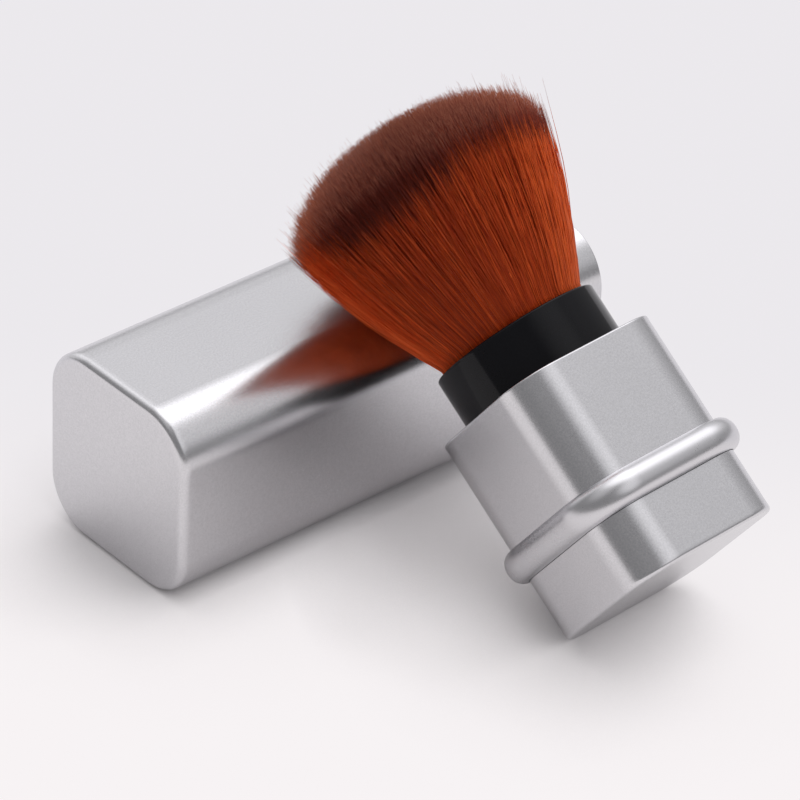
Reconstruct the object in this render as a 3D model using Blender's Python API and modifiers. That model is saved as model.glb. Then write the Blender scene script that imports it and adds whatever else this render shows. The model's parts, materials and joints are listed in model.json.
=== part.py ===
"""Retractable makeup brush with a square cap, laid out with the cap off.

The cap lies on one flat side along X, with its closed end towards -X. The brush leans across it: its
foot edge stands on the surface and its hair rests on the cap's rounded top edge. The origin is the
middle of the cap's resting face, with +Z up. Everything is in metres.

The cap is modelled on its own axis from its closed end, and the brush on its own axis from its foot.
An empty then carries each of them to its place.
"""

import math

import bmesh
import bpy
from mathutils import Euler, Vector

MM = 0.001

# Fits shared by all pieces
GLUE_GAP = 0.1 * MM
SEAT_GAP = 0.2 * MM
SLIDE_GAP = 0.2 * MM
PARTING_GAP = 0.1 * MM
CUT_OVERRUN = 1.0 * MM

# Cap shell
CAP_SIDE = 30.0 * MM
CAP_LENGTH = 77.0 * MM
CAP_CORNER = 7.8 * MM
CAP_WALL = 0.5 * MM
CAP_END_EDGE = 0.8 * MM

# Cap liner
LINER_LENGTH = 18.0 * MM
LINER_WALL = 0.45 * MM
LINER_RECESS = 0.4 * MM
GRIP_RIB_HEIGHT = 0.1 * MM
GRIP_RIB_WIDTH = 1.0 * MM
GRIP_RIB_LENGTH = 13.0 * MM
GRIP_RIB_SPACING = 7.0 * MM

# Shells of the brush
BODY_SIDE = 27.5 * MM
BODY_CORNER = 6.6 * MM
SHELL_WALL = 0.5 * MM
SLEEVE_RISE = 17.25 * MM
MOUTH_EDGE = 0.15 * MM
BASE_HEIGHT = 9.8 * MM
FOOT_EDGE = 0.6 * MM

# Ring band
RING_HEIGHT = 4.7 * MM
RING_STAND = 2.1 * MM
RING_SHOULDER = 0.25 * MM
RING_LIP = 0.6 * MM
RING_LIP_REACH = 1.3 * MM

# Ferrule
FERRULE_DIAMETER = 25.2 * MM
FERRULE_WALL = 1.2 * MM
FERRULE_RISE = 7.85 * MM
FERRULE_DEPTH = 1.85 * MM
FERRULE_FLOOR = 1.2 * MM
FERRULE_CUP_DEPTH = 5.0 * MM
GLUE_BELOW_RIM = 1.2 * MM
FERRULE_EDGE = 0.3 * MM

# Carrier
CARRIER_DIAMETER = 20.6 * MM
CARRIER_WALL = 1.4 * MM
CARRIER_WEB = 1.6 * MM
CARRIER_BOSS_DIAMETER = 6.4 * MM
CARRIER_BOSS_HEIGHT = 5.0 * MM
SNAP_BEAD = 0.25 * MM
SNAP_BEAD_WIDTH = 1.0 * MM
DETENT_DEPTH = 0.25 * MM
DETENT_WIDTH = 1.5 * MM

# Guide sleeve, its rubber ring and its plate
MOUTH_RECESS = 0.6 * MM
COLLAR_HEIGHT = 4.6 * MM
O_RING_SECTION = 1.6 * MM
PLATE_THICKNESS = 0.9 * MM

# Base insert, weight and screw
INSERT_RECESS = 0.4 * MM
INSERT_WEB = 1.5 * MM
WEIGHT_DIAMETER = 20.0 * MM
WEIGHT_THICKNESS = 2.2 * MM
WEIGHT_HOLE = 7.4 * MM
SCREW_DIAMETER = 2.6 * MM
SCREW_LENGTH = 7.0 * MM
SCREW_POINT = 1.2 * MM
SCREW_HEAD_DIAMETER = 5.4 * MM
SCREW_HEAD_HEIGHT = 1.5 * MM
CORE_POCKET_DIAMETER = 3.0 * MM
CORE_POCKET_ROOF = 1.4 * MM

# Hair
HAIR_HEIGHT = 34.8 * MM
HAIR_SHOULDER = 24.3 * MM
HAIR_SHOULDER_RADIUS = 19.3 * MM
HAIR_ROOT_RADIUS = 10.7 * MM
HAIR_DOME_RADIUS = 19.9 * MM
HAIR_BULGE_SHARE = 1.46
HAIR_SLICE = 1.0 * MM
KNOT_EDGE = 0.4 * MM
STRAND_COUNT = 300
STRAND_SEGMENTS = 3
STRAND_SIDES = 3
STRAND_RADIUS = 0.4 * MM
STRAND_SWELL_SHARE = 1.7
STRAND_TIP_SHARE = 0.9
REST_CLEARANCE = 0.9 * MM

# Layout of the cap and the brush on the surface
BRUSH_RISE = math.radians(36.8)
BRUSH_TURN = math.radians(3.3)
FOOT_FROM_CAP = 37.5 * MM
FOOT_ALONG_CAP = 10.0 * MM

# Facets
CORNER_STEPS = 6
EDGE_STEPS = 3
ROUND_STEPS = 40
RING_STEPS = 10
O_RING_STEPS = 8
SOLVE_STEPS = 12

# Heights along the brush, from its foot
RING_FOOT = BASE_HEIGHT + PARTING_GAP
RING_TOP = RING_FOOT + RING_HEIGHT
MOUTH = RING_TOP + SLEEVE_RISE
SLEEVE_FOOT = RING_FOOT + RING_LIP + GLUE_GAP
FERRULE_TOP = MOUTH + FERRULE_RISE
FERRULE_FOOT = MOUTH - FERRULE_DEPTH
CUP_FLOOR = FERRULE_TOP - FERRULE_CUP_DEPTH
SOCKET_ROOF = CUP_FLOOR - FERRULE_FLOOR
CARRIER_TOP = SOCKET_ROOF - GLUE_GAP
PLATE_TOP = SLEEVE_FOOT + PLATE_THICKNESS
GUIDE_FOOT = PLATE_TOP + GLUE_GAP
GUIDE_TOP = MOUTH - MOUTH_RECESS
COLLAR_TOP = GUIDE_FOOT + COLLAR_HEIGHT
SLIDE_TRAVEL = FERRULE_FOOT - COLLAR_TOP - SEAT_GAP
WEIGHT_FOOT = SHELL_WALL + SEAT_GAP
WEIGHT_TOP = WEIGHT_FOOT + WEIGHT_THICKNESS
INSERT_FOOT = SHELL_WALL + GLUE_GAP
WEB_FOOT = WEIGHT_TOP + SEAT_GAP
WEB_TOP = WEB_FOOT + INSERT_WEB
CARRIER_FOOT = WEB_TOP + GLUE_GAP
INSERT_TOP = BASE_HEIGHT - INSERT_RECESS
KNOT_FOOT = CUP_FLOOR + GLUE_GAP
HAIR_ROOT = FERRULE_TOP - GLUE_BELOW_RIM
SLICE_FOOT = HAIR_ROOT - HAIR_SLICE
KNOT_TOP = SLICE_FOOT - GLUE_GAP

# Sides, corners and radii that follow from the shells and the fits
BODY_INNER_SIDE = BODY_SIDE - 2 * SHELL_WALL
CORE_SIDE = BODY_INNER_SIDE - 2 * GLUE_GAP
CORE_CORNER = BODY_CORNER - SHELL_WALL - GLUE_GAP
LINER_SIDE = CAP_SIDE - 2 * (CAP_WALL + GLUE_GAP)
LINER_CORNER = CAP_CORNER - CAP_WALL - GLUE_GAP
FERRULE_RADIUS = FERRULE_DIAMETER / 2
CUP_RADIUS = FERRULE_RADIUS - FERRULE_WALL
CARRIER_RADIUS = CARRIER_DIAMETER / 2
CARRIER_BORE = CARRIER_RADIUS - CARRIER_WALL
SOCKET_RADIUS = CARRIER_RADIUS + GLUE_GAP
GUIDE_BORE = FERRULE_RADIUS + SLIDE_GAP
COLLAR_BORE = CARRIER_RADIUS + SLIDE_GAP
O_RING_RADIUS = CARRIER_RADIUS + GLUE_GAP + O_RING_SECTION / 2
O_RING_SEAT_RADIUS = O_RING_RADIUS + O_RING_SECTION / 2 + GLUE_GAP
O_RING_HEIGHT = GUIDE_FOOT + SEAT_GAP + O_RING_SECTION / 2
O_RING_SEAT_TOP = O_RING_HEIGHT + O_RING_SECTION / 2 + SEAT_GAP
KNOT_RADIUS = CUP_RADIUS - GLUE_GAP
GOLDEN_ANGLE = math.pi * (3 - math.sqrt(5))


def clear_scene():
    """Remove what a new file holds."""
    for item in list(bpy.data.objects):
        bpy.data.objects.remove(item, do_unlink=True)


def collection(name):
    """Make a collection in the scene."""
    made = bpy.data.collections.new(name)
    bpy.context.scene.collection.children.link(made)
    return made


def material(name, color, roughness, metallic=0.0):
    """Make a plain surface finish."""
    made = bpy.data.materials.new(name)
    made.use_nodes = True
    shader = made.node_tree.nodes["Principled BSDF"]
    shader.inputs["Base Color"].default_value = (*color, 1.0)
    shader.inputs["Roughness"].default_value = roughness
    shader.inputs["Metallic"].default_value = metallic
    made.diffuse_color = (*color, 1.0)
    return made


def mesh_object(name, mesh):
    """Link a new object that holds the mesh."""
    made = bpy.data.objects.new(name, mesh)
    PARTS.objects.link(made)
    return made


def bmesh_object(name, work):
    """Turn a finished bmesh into an object."""
    mesh = bpy.data.meshes.new(name)
    work.to_mesh(mesh)
    work.free()
    return mesh_object(name, mesh)


def evaluated_mesh(item):
    """Give the mesh of an object as its modifiers and its curve leave it."""
    graph = bpy.context.evaluated_depsgraph_get()
    return bpy.data.meshes.new_from_object(item.evaluated_get(graph), depsgraph=graph)


def finish(item, look, parent):
    """Dress a piece, smooth its round stretches and hang it on the empty that places it."""
    item.data.materials.clear()
    item.data.materials.append(look)
    item.data.shade_smooth()
    item.data.set_sharp_from_angle(angle=math.radians(35))
    item.parent = parent
    return item


def make_cutter(item):
    """Hide a cutter, and move it out of the parts."""
    item.hide_render = True
    item.display_type = "WIRE"
    PARTS.objects.unlink(item)
    CUTTERS.objects.link(item)
    return item


def boolean(item, other, operation):
    """Cut a piece with another solid, or join the two."""
    step = item.modifiers.new(f"{operation.lower()} {other.name}", "BOOLEAN")
    step.operation = operation
    step.object = other


def rounded_square(side, corner):
    """Points of a rounded square about the origin, anticlockwise."""
    reach = side / 2 - corner
    points = []
    for quarter, (along, across) in enumerate(((1, 1), (-1, 1), (-1, -1), (1, -1))):
        for step in range(CORNER_STEPS + 1):
            angle = math.pi / 2 * (quarter + step / CORNER_STEPS)
            x = along * reach + corner * math.cos(angle)
            y = across * reach + corner * math.sin(angle)
            points.append((x, y))
    return points


def closed_curve(name, points):
    """A flat closed curve of straight stretches."""
    curve = bpy.data.curves.new(name, "CURVE")
    curve.dimensions = "2D"
    curve.fill_mode = "NONE"
    spline = curve.splines.new("POLY")
    spline.points.add(len(points) - 1)
    for point, (x, y) in zip(spline.points, points):
        point.co = (x, y, 0.0, 1.0)
    spline.use_cyclic_u = True
    made = bpy.data.objects.new(name, curve)
    PARTS.objects.link(made)
    return made


def square_sweep(name, side, corner, section):
    """Carry a closed section round a rounded square.

    The section's points are (distance outside the side, height), anticlockwise.
    """
    path = closed_curve(name + "_path", rounded_square(side, corner))
    profile = closed_curve(name + "_section", [(-out, height) for out, height in section])
    path.data.bevel_mode = "OBJECT"
    path.data.bevel_object = profile
    made = mesh_object(name, evaluated_mesh(path))
    bpy.data.objects.remove(path)
    bpy.data.objects.remove(profile)
    return made


def round_edges(work, edges, radius, steps):
    """Round some edges of a bmesh."""
    bmesh.ops.bevel(work, geom=edges, offset=radius, segments=steps, profile=0.5, affect="EDGES")


def rounded_block(side, corner, foot, top, foot_radius):
    """A bmesh of an upright square block, its upright edges and its foot edge rounded."""
    work = bmesh.new()
    bmesh.ops.create_cube(work, size=1.0)
    bmesh.ops.scale(work, vec=(side, side, top - foot), verts=work.verts)
    bmesh.ops.translate(work, vec=(0, 0, (foot + top) / 2), verts=work.verts)
    upright = [edge for edge in work.edges if edge.verts[0].co.xy == edge.verts[1].co.xy]
    round_edges(work, upright, corner, CORNER_STEPS)
    if foot_radius:
        low = foot + foot_radius / 2
        foot_loop = [edge for edge in work.edges if max(vert.co.z for vert in edge.verts) < low]
        round_edges(work, foot_loop, foot_radius, EDGE_STEPS)
    return work


def square_cup(name, side, corner, length, wall, foot_radius):
    """A drawn cup: closed and rounded at its foot, open at its top, with an even wall."""
    work = rounded_block(side, corner, 0, length, foot_radius)
    lid = [face for face in work.faces if min(vert.co.z for vert in face.verts) > length - wall]
    bmesh.ops.delete(work, geom=lid, context="FACES_ONLY")
    made = bmesh_object(name, work)
    shell = made.modifiers.new("wall", "SOLIDIFY")
    shell.thickness = wall
    shell.offset = -1
    shell.use_even_offset = True
    return made


def turned(name, profile, closed=True, steps=ROUND_STEPS):
    """A turned solid: a profile of (radius, height) points, down its outer side, swept round Z."""
    mesh = bpy.data.meshes.new(name)
    edges = [(index, index + 1) for index in range(len(profile) - 1)]
    if closed:
        edges.append((len(profile) - 1, 0))
    mesh.from_pydata([(radius, 0, height) for radius, height in profile], edges, [])
    made = mesh_object(name, mesh)
    sweep = made.modifiers.new("turn", "SCREW")
    sweep.steps = steps
    sweep.render_steps = steps
    sweep.use_merge_vertices = True
    sweep.merge_threshold = 0.001 * MM
    return made


def arc(center, radius, start, end, steps):
    """Points on an arc in the plane of a profile, angles in degrees."""
    points = []
    for step in range(steps + 1):
        angle = math.radians(start + (end - start) * step / steps)
        points.append((center[0] + radius * math.cos(angle), center[1] + radius * math.sin(angle)))
    return points


# Cap


def make_cap_shell(look, pose):
    """Drawn aluminium cap, closed at its foot end."""
    shell = square_cup("cap_shell", CAP_SIDE, CAP_CORNER, CAP_LENGTH, CAP_WALL, CAP_END_EDGE)
    return finish(shell, look, pose)


def make_cap_liner(look, pose):
    """Thin plastic liner in the cap's mouth, with crush ribs along its inner flats."""
    top = CAP_LENGTH - LINER_RECESS
    foot = top - LINER_LENGTH
    section = [(-LINER_WALL, foot), (0, foot), (0, top), (-LINER_WALL, top)]
    liner = square_sweep("cap_liner", LINER_SIDE, LINER_CORNER, section)
    inner = LINER_SIDE / 2 - LINER_WALL
    rib_middle = foot + LINER_LENGTH / 2
    root = LINER_WALL / 2
    work = bmesh.new()
    for quarter in range(4):
        for side in (-1, 1):
            box = bmesh.ops.create_cube(work, size=1.0)["verts"]
            bmesh.ops.scale(work, vec=(GRIP_RIB_HEIGHT + root, GRIP_RIB_WIDTH, GRIP_RIB_LENGTH), verts=box)
            reach = inner + (root - GRIP_RIB_HEIGHT) / 2
            place = Vector((reach, side * GRIP_RIB_SPACING / 2, rib_middle))
            bmesh.ops.translate(work, vec=place, verts=box)
            turn = Euler((0, 0, math.pi / 2 * quarter)).to_matrix()
            bmesh.ops.rotate(work, cent=(0, 0, 0), matrix=turn, verts=box)
    ribs = make_cutter(bmesh_object("grip_ribs", work))
    ribs.parent = pose
    boolean(liner, ribs, "UNION")
    return finish(liner, look, pose)


# Sleeve and what slides with it


def make_sleeve_shell(look, pose):
    """Aluminium tube, with the mouth's outer edge broken."""
    section = [
        (-SHELL_WALL, SLEEVE_FOOT),
        (0, SLEEVE_FOOT),
        (0, MOUTH - MOUTH_EDGE),
        (-MOUTH_EDGE, MOUTH),
        (-SHELL_WALL, MOUTH),
    ]
    return finish(square_sweep("sleeve_shell", BODY_SIDE, BODY_CORNER, section), look, pose)


def make_ring_band(look, pose):
    """Half-round band, with a lip under the foot of the sleeve."""
    middle = (RING_FOOT + RING_TOP) / 2
    crown = RING_STAND - RING_SHOULDER
    section = [(GLUE_GAP, RING_TOP), (GLUE_GAP, SLEEVE_FOOT - GLUE_GAP)]
    section += [(-RING_LIP_REACH, SLEEVE_FOOT - GLUE_GAP), (-RING_LIP_REACH, RING_FOOT)]
    for step in range(RING_STEPS + 1):
        angle = math.pi * (step / RING_STEPS) - math.pi / 2
        out = RING_SHOULDER + crown * math.cos(angle)
        section.append((out, middle + RING_HEIGHT / 2 * math.sin(angle)))
    return finish(square_sweep("ring_band", BODY_SIDE, BODY_CORNER, section), look, pose)


def make_guide_sleeve(look, pose):
    """Inner sleeve, square outside, bored for the ferrule above and for the carrier below."""
    block = bmesh_object("guide_sleeve", rounded_block(CORE_SIDE, CORE_CORNER, GUIDE_FOOT, GUIDE_TOP, 0))
    bore = turned(
        "guide_bore",
        [
            (0, MOUTH + CUT_OVERRUN),
            (GUIDE_BORE, MOUTH + CUT_OVERRUN),
            (GUIDE_BORE, COLLAR_TOP),
            (COLLAR_BORE, COLLAR_TOP),
            (COLLAR_BORE, O_RING_SEAT_TOP),
            (O_RING_SEAT_RADIUS, O_RING_SEAT_TOP),
            (O_RING_SEAT_RADIUS, GUIDE_FOOT - CUT_OVERRUN),
            (0, GUIDE_FOOT - CUT_OVERRUN),
        ],
        closed=False,
    )
    bore.parent = pose
    boolean(block, make_cutter(bore), "DIFFERENCE")
    return finish(block, look, pose)


def make_retaining_plate(look, pose):
    """Flat plate that keeps the rubber ring in its seat and rests on the ring band's lip."""
    plate = bmesh_object("retaining_plate", rounded_block(CORE_SIDE, CORE_CORNER, SLEEVE_FOOT, PLATE_TOP, 0))
    bore = turned(
        "plate_bore",
        [
            (0, PLATE_TOP + CUT_OVERRUN),
            (COLLAR_BORE, PLATE_TOP + CUT_OVERRUN),
            (COLLAR_BORE, SLEEVE_FOOT - CUT_OVERRUN),
            (0, SLEEVE_FOOT - CUT_OVERRUN),
        ],
        closed=False,
    )
    bore.parent = pose
    boolean(plate, make_cutter(bore), "DIFFERENCE")
    return finish(plate, look, pose)


def make_slide_o_ring(look, pose):
    """Rubber ring that grips the carrier."""
    section = arc((O_RING_RADIUS, O_RING_HEIGHT), O_RING_SECTION / 2, 90, -270, O_RING_STEPS)
    return finish(turned("slide_o_ring", section[:-1]), look, pose)


# Carrier, ferrule and base


def detent(height):
    """Groove that the rubber ring drops into, from its upper edge down."""
    return [
        (CARRIER_RADIUS, height + DETENT_WIDTH / 2),
        (CARRIER_RADIUS - DETENT_DEPTH, height + DETENT_WIDTH / 4),
        (CARRIER_RADIUS - DETENT_DEPTH, height - DETENT_WIDTH / 4),
        (CARRIER_RADIUS, height - DETENT_WIDTH / 2),
    ]


def snap_bead(radius, height):
    """Rounded bead on a neck, or the groove that takes it, from its upper edge down."""
    return [
        (radius, height + SNAP_BEAD_WIDTH / 2),
        (radius + SNAP_BEAD, height),
        (radius, height - SNAP_BEAD_WIDTH / 2),
    ]


def bead_height():
    """Height of the snap between the ferrule's skirt and the carrier's neck."""
    return (FERRULE_FOOT + SOCKET_ROOF) / 2


def make_carrier(look, pose):
    """Plastic tube with a screw boss in its foot, a snap neck and a detent at each end of its travel."""
    boss_top = CARRIER_FOOT + CARRIER_BOSS_HEIGHT
    pilot = SCREW_DIAMETER / 2 + GLUE_GAP
    pilot_top = CARRIER_FOOT + SCREW_LENGTH - INSERT_WEB
    profile = [
        (0, boss_top + CARRIER_WEB),
        (CARRIER_BOSS_DIAMETER / 2, boss_top + CARRIER_WEB),
        (CARRIER_BOSS_DIAMETER / 2, CARRIER_FOOT + CARRIER_WEB),
        (CARRIER_BORE, CARRIER_FOOT + CARRIER_WEB),
        (CARRIER_BORE, CARRIER_TOP),
        (CARRIER_RADIUS, CARRIER_TOP),
        *snap_bead(CARRIER_RADIUS, bead_height()),
        *detent(O_RING_HEIGHT + SLIDE_TRAVEL),
        *detent(O_RING_HEIGHT),
        (CARRIER_RADIUS, CARRIER_FOOT),
        (pilot, CARRIER_FOOT),
        (pilot, pilot_top),
        (0, pilot_top),
    ]
    return finish(turned("carrier", profile, closed=False), look, pose)


def make_ferrule(look, pose):
    """Round cup for the hair, with a skirt below its floor that snaps over the carrier."""
    groove = reversed(snap_bead(SOCKET_RADIUS, bead_height()))
    profile = [
        (0, CUP_FLOOR),
        (CUP_RADIUS, CUP_FLOOR),
        (CUP_RADIUS, FERRULE_TOP - FERRULE_EDGE),
        (CUP_RADIUS + FERRULE_EDGE, FERRULE_TOP),
        (FERRULE_RADIUS - FERRULE_EDGE, FERRULE_TOP),
        (FERRULE_RADIUS, FERRULE_TOP - FERRULE_EDGE),
        (FERRULE_RADIUS, FERRULE_FOOT),
        (SOCKET_RADIUS, FERRULE_FOOT),
        *groove,
        (SOCKET_RADIUS, SOCKET_ROOF),
        (0, SOCKET_ROOF),
    ]
    return finish(turned("ferrule", profile, closed=False), look, pose)


def make_knot_plug(look, pose):
    """Cured glue under the hair, with a softened lower edge."""
    profile = [
        (0, KNOT_TOP),
        (KNOT_RADIUS, KNOT_TOP),
        (KNOT_RADIUS, KNOT_FOOT + KNOT_EDGE),
        (KNOT_RADIUS - KNOT_EDGE, KNOT_FOOT),
        (0, KNOT_FOOT),
    ]
    return finish(turned("knot_plug", profile, closed=False), look, pose)


def make_base_shell(look, pose):
    """Drawn aluminium cup at the foot, flush with the sleeve."""
    shell = square_cup("base_shell", BODY_SIDE, BODY_CORNER, BASE_HEIGHT, SHELL_WALL, FOOT_EDGE)
    return finish(shell, look, pose)


def make_base_insert(look, pose):
    """Plastic core of the base: carrier socket above, weight recess below, and cored corners."""
    work = rounded_block(CORE_SIDE, CORE_CORNER, INSERT_FOOT, INSERT_TOP, FOOT_EDGE)
    block = bmesh_object("base_insert", work)
    bore = turned(
        "insert_bore",
        [
            (0, INSERT_TOP + CUT_OVERRUN),
            (SOCKET_RADIUS, INSERT_TOP + CUT_OVERRUN),
            (SOCKET_RADIUS, WEB_TOP),
            (SCREW_DIAMETER / 2 + SEAT_GAP, WEB_TOP),
            (SCREW_DIAMETER / 2 + SEAT_GAP, WEB_FOOT),
            (WEIGHT_DIAMETER / 2 + SEAT_GAP, WEB_FOOT),
            (WEIGHT_DIAMETER / 2 + SEAT_GAP, INSERT_FOOT - CUT_OVERRUN),
            (0, INSERT_FOOT - CUT_OVERRUN),
        ],
        closed=False,
    )
    bore.parent = pose
    boolean(block, make_cutter(bore), "DIFFERENCE")
    pockets = core_pockets()
    pockets.parent = pose
    boolean(block, make_cutter(pockets), "DIFFERENCE")
    return finish(block, look, pose)


def core_pockets():
    """Blind round pockets in the four thick corners of the base insert, open below."""
    diagonal = CORE_SIDE / math.sqrt(2) - CORE_CORNER * (math.sqrt(2) - 1)
    middle = (diagonal + SOCKET_RADIUS) / 2
    roof = INSERT_TOP - CORE_POCKET_ROOF
    depth = roof - INSERT_FOOT + CUT_OVERRUN
    work = bmesh.new()
    for quarter in range(4):
        pin = bmesh.ops.create_cone(
            work,
            cap_ends=True,
            segments=ROUND_STEPS // 4,
            radius1=CORE_POCKET_DIAMETER / 2,
            radius2=CORE_POCKET_DIAMETER / 2,
            depth=depth,
        )["verts"]
        bmesh.ops.translate(work, vec=(middle, 0, roof - depth / 2), verts=pin)
        turn = Euler((0, 0, math.pi / 4 * (2 * quarter + 1))).to_matrix()
        bmesh.ops.rotate(work, cent=(0, 0, 0), matrix=turn, verts=pin)
    return bmesh_object("core_pockets", work)


def make_base_weight(look, pose):
    """Steel slug with room for the screw's head."""
    profile = [
        (WEIGHT_DIAMETER / 2, WEIGHT_TOP),
        (WEIGHT_DIAMETER / 2, WEIGHT_FOOT),
        (WEIGHT_HOLE / 2, WEIGHT_FOOT),
        (WEIGHT_HOLE / 2, WEIGHT_TOP),
    ]
    return finish(turned("base_weight", profile), look, pose)


def make_base_screw(look, pose):
    """Pan-head screw that goes up through the insert's web into the carrier's boss."""
    seat = WEB_FOOT - GLUE_GAP
    tip = seat + SCREW_LENGTH
    dome = SCREW_HEAD_HEIGHT / 2
    profile = [
        (0, tip),
        (SCREW_DIAMETER / 2, tip - SCREW_POINT),
        (SCREW_DIAMETER / 2, seat),
        (SCREW_HEAD_DIAMETER / 2, seat),
        (SCREW_HEAD_DIAMETER / 2, seat - dome),
        (SCREW_HEAD_DIAMETER / 2 - dome, seat - SCREW_HEAD_HEIGHT),
        (0, seat - SCREW_HEAD_HEIGHT),
    ]
    return finish(turned("base_screw", profile, closed=False, steps=ROUND_STEPS // 2), look, pose)


# Hair


def hair_radius(rise):
    """Radius of the free hair at a height above the ferrule's rim."""
    share = rise / HAIR_SHOULDER
    spread = HAIR_BULGE_SHARE * share - (HAIR_BULGE_SHARE - 1) * share * share
    return HAIR_ROOT_RADIUS + (HAIR_SHOULDER_RADIUS - HAIR_ROOT_RADIUS) * spread


def tip_height(place):
    """Height of a hair's tip above the rim, for a hair at this share of the tuft's radius."""
    dome = HAIR_HEIGHT - HAIR_SHOULDER
    rise = HAIR_HEIGHT
    for _ in range(SOLVE_STEPS):
        reach = min(1.0, place * hair_radius(rise) / HAIR_DOME_RADIUS)
        rise = HAIR_SHOULDER + dome * math.sqrt(1 - reach * reach)
    return rise


def pressed(point, to_world, to_brush):
    """Press a point of the hair up off the cap's rounded edge, drawing in that side of the tuft."""
    across = point.y
    if across <= 0 or point.z < FERRULE_TOP:
        return point
    free = math.sqrt(max(across * across, hair_radius(point.z - FERRULE_TOP) ** 2 - point.x * point.x))
    place = to_world @ Vector((point.x, free, point.z))
    edge_y = CAP_CORNER - CAP_SIDE / 2
    edge_z = CAP_SIDE - CAP_CORNER
    edge = to_brush @ Vector((place.x, edge_y, edge_z))
    reach = CAP_CORNER + REST_CLEARANCE
    along = point.z - edge.z
    if abs(along) >= reach:
        return point
    limit = edge.y - math.sqrt(reach * reach - along * along)
    return Vector((point.x, across * min(1.0, limit / free), point.z))


def strand_points(index, to_world, to_brush):
    """Points of one hair, from inside the slice of glue to its tip."""
    place = math.sqrt((index + 0.5) / STRAND_COUNT)
    angle = GOLDEN_ANGLE * index
    tip = tip_height(place)
    points = []
    for step in range(STRAND_SEGMENTS + 1):
        if step == 0:
            rise = HAIR_ROOT - HAIR_SLICE / 2 - FERRULE_TOP
            radius = place * HAIR_ROOT_RADIUS
        else:
            rise = tip * (step - 1) / (STRAND_SEGMENTS - 1)
            radius = place * hair_radius(rise)
        point = Vector((radius * math.cos(angle), radius * math.sin(angle), FERRULE_TOP + rise))
        points.append(pressed(point, to_world, to_brush))
    return points


def make_bristle_tuft(look, pose):
    """Flared dome of hair, its strands fused to a slice of the glue that holds them."""
    to_world = pose.matrix_world.copy()
    to_brush = to_world.inverted()
    section = closed_curve("strand_section", arc((0, 0), STRAND_RADIUS, 0, 360, STRAND_SIDES)[:-1])
    curve = bpy.data.curves.new("strands", "CURVE")
    curve.dimensions = "3D"
    curve.use_fill_caps = True
    curve.bevel_mode = "OBJECT"
    curve.bevel_object = section
    swells = (1.0, 1.0, STRAND_SWELL_SHARE, STRAND_TIP_SHARE)
    for index in range(STRAND_COUNT):
        spline = curve.splines.new("POLY")
        spline.points.add(STRAND_SEGMENTS)
        for point, place, swell in zip(spline.points, strand_points(index, to_world, to_brush), swells):
            point.co = (*place, 1.0)
            point.radius = swell
    strands = bpy.data.objects.new("strands", curve)
    PARTS.objects.link(strands)
    joined = evaluated_mesh(strands)
    work = bmesh.new()
    work.from_mesh(joined)
    bmesh.ops.remove_doubles(work, verts=work.verts, dist=0.001 * MM)
    bmesh.ops.recalc_face_normals(work, faces=work.faces)
    hairs = make_cutter(bmesh_object("hairs", work))
    hairs.parent = pose
    bpy.data.objects.remove(strands)
    bpy.data.objects.remove(section)
    profile = [(0, HAIR_ROOT), (KNOT_RADIUS, HAIR_ROOT), (KNOT_RADIUS, SLICE_FOOT), (0, SLICE_FOOT)]
    tuft = turned("bristle_tuft", profile, closed=False)
    boolean(tuft, hairs, "UNION")
    return finish(tuft, look, pose)


# Layout


def make_pose(name):
    """An empty that carries a sub-assembly."""
    empty = bpy.data.objects.new(name, None)
    PARTS.objects.link(empty)
    return empty


def make_cap_pose():
    """Lay the cap's axis along X, its middle over the origin and one flat on the surface."""
    pose = make_pose("cap_pose")
    pose.rotation_euler = (0, math.pi / 2, 0)
    pose.location = (-CAP_LENGTH / 2, 0, CAP_SIDE / 2)
    return pose


def make_brush_pose():
    """Lean the brush across the cap, standing on the rounded edge of its foot."""
    pose = make_pose("brush_pose")
    pose.rotation_euler = (BRUSH_RISE - math.pi / 2, 0, BRUSH_TURN)
    lift = FOOT_EDGE * (1 - math.cos(BRUSH_RISE) - math.sin(BRUSH_RISE))
    foot_corner = Vector((FOOT_ALONG_CAP, -CAP_SIDE / 2 - FOOT_FROM_CAP, lift))
    under = pose.rotation_euler.to_matrix() @ Vector((0, BODY_SIDE / 2, 0))
    pose.location = foot_corner - under
    return pose


clear_scene()
PARTS = collection("retractable_brush")
CUTTERS = collection("cutters")

satin = material("satin_aluminium", (0.66, 0.66, 0.68), 0.32, 1.0)
polished = material("polished_aluminium", (0.74, 0.74, 0.76), 0.16, 1.0)
black_gloss = material("black_gloss_plastic", (0.012, 0.012, 0.014), 0.12)
black_matte = material("black_matte_plastic", (0.02, 0.02, 0.022), 0.45)
white_plastic = material("natural_plastic", (0.72, 0.72, 0.7), 0.4)
black_rubber = material("black_rubber", (0.015, 0.015, 0.015), 0.7)
glue = material("amber_glue", (0.25, 0.16, 0.07), 0.3)
steel = material("zinc_plated_steel", (0.55, 0.55, 0.56), 0.35, 1.0)
copper_hair = material("copper_hair", (0.42, 0.1, 0.03), 0.5)

cap_pose = make_cap_pose()
brush_pose = make_brush_pose()
bpy.context.view_layer.update()

make_cap_shell(satin, cap_pose)
make_cap_liner(white_plastic, cap_pose)
make_sleeve_shell(satin, brush_pose)
make_ring_band(polished, brush_pose)
make_guide_sleeve(black_matte, brush_pose)
make_retaining_plate(black_matte, brush_pose)
make_slide_o_ring(black_rubber, brush_pose)
make_carrier(black_matte, brush_pose)
make_ferrule(black_gloss, brush_pose)
make_knot_plug(glue, brush_pose)
make_bristle_tuft(copper_hair, brush_pose)
make_base_shell(satin, brush_pose)
make_base_insert(black_matte, brush_pose)
make_base_weight(steel, brush_pose)
make_base_screw(steel, brush_pose)
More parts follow.
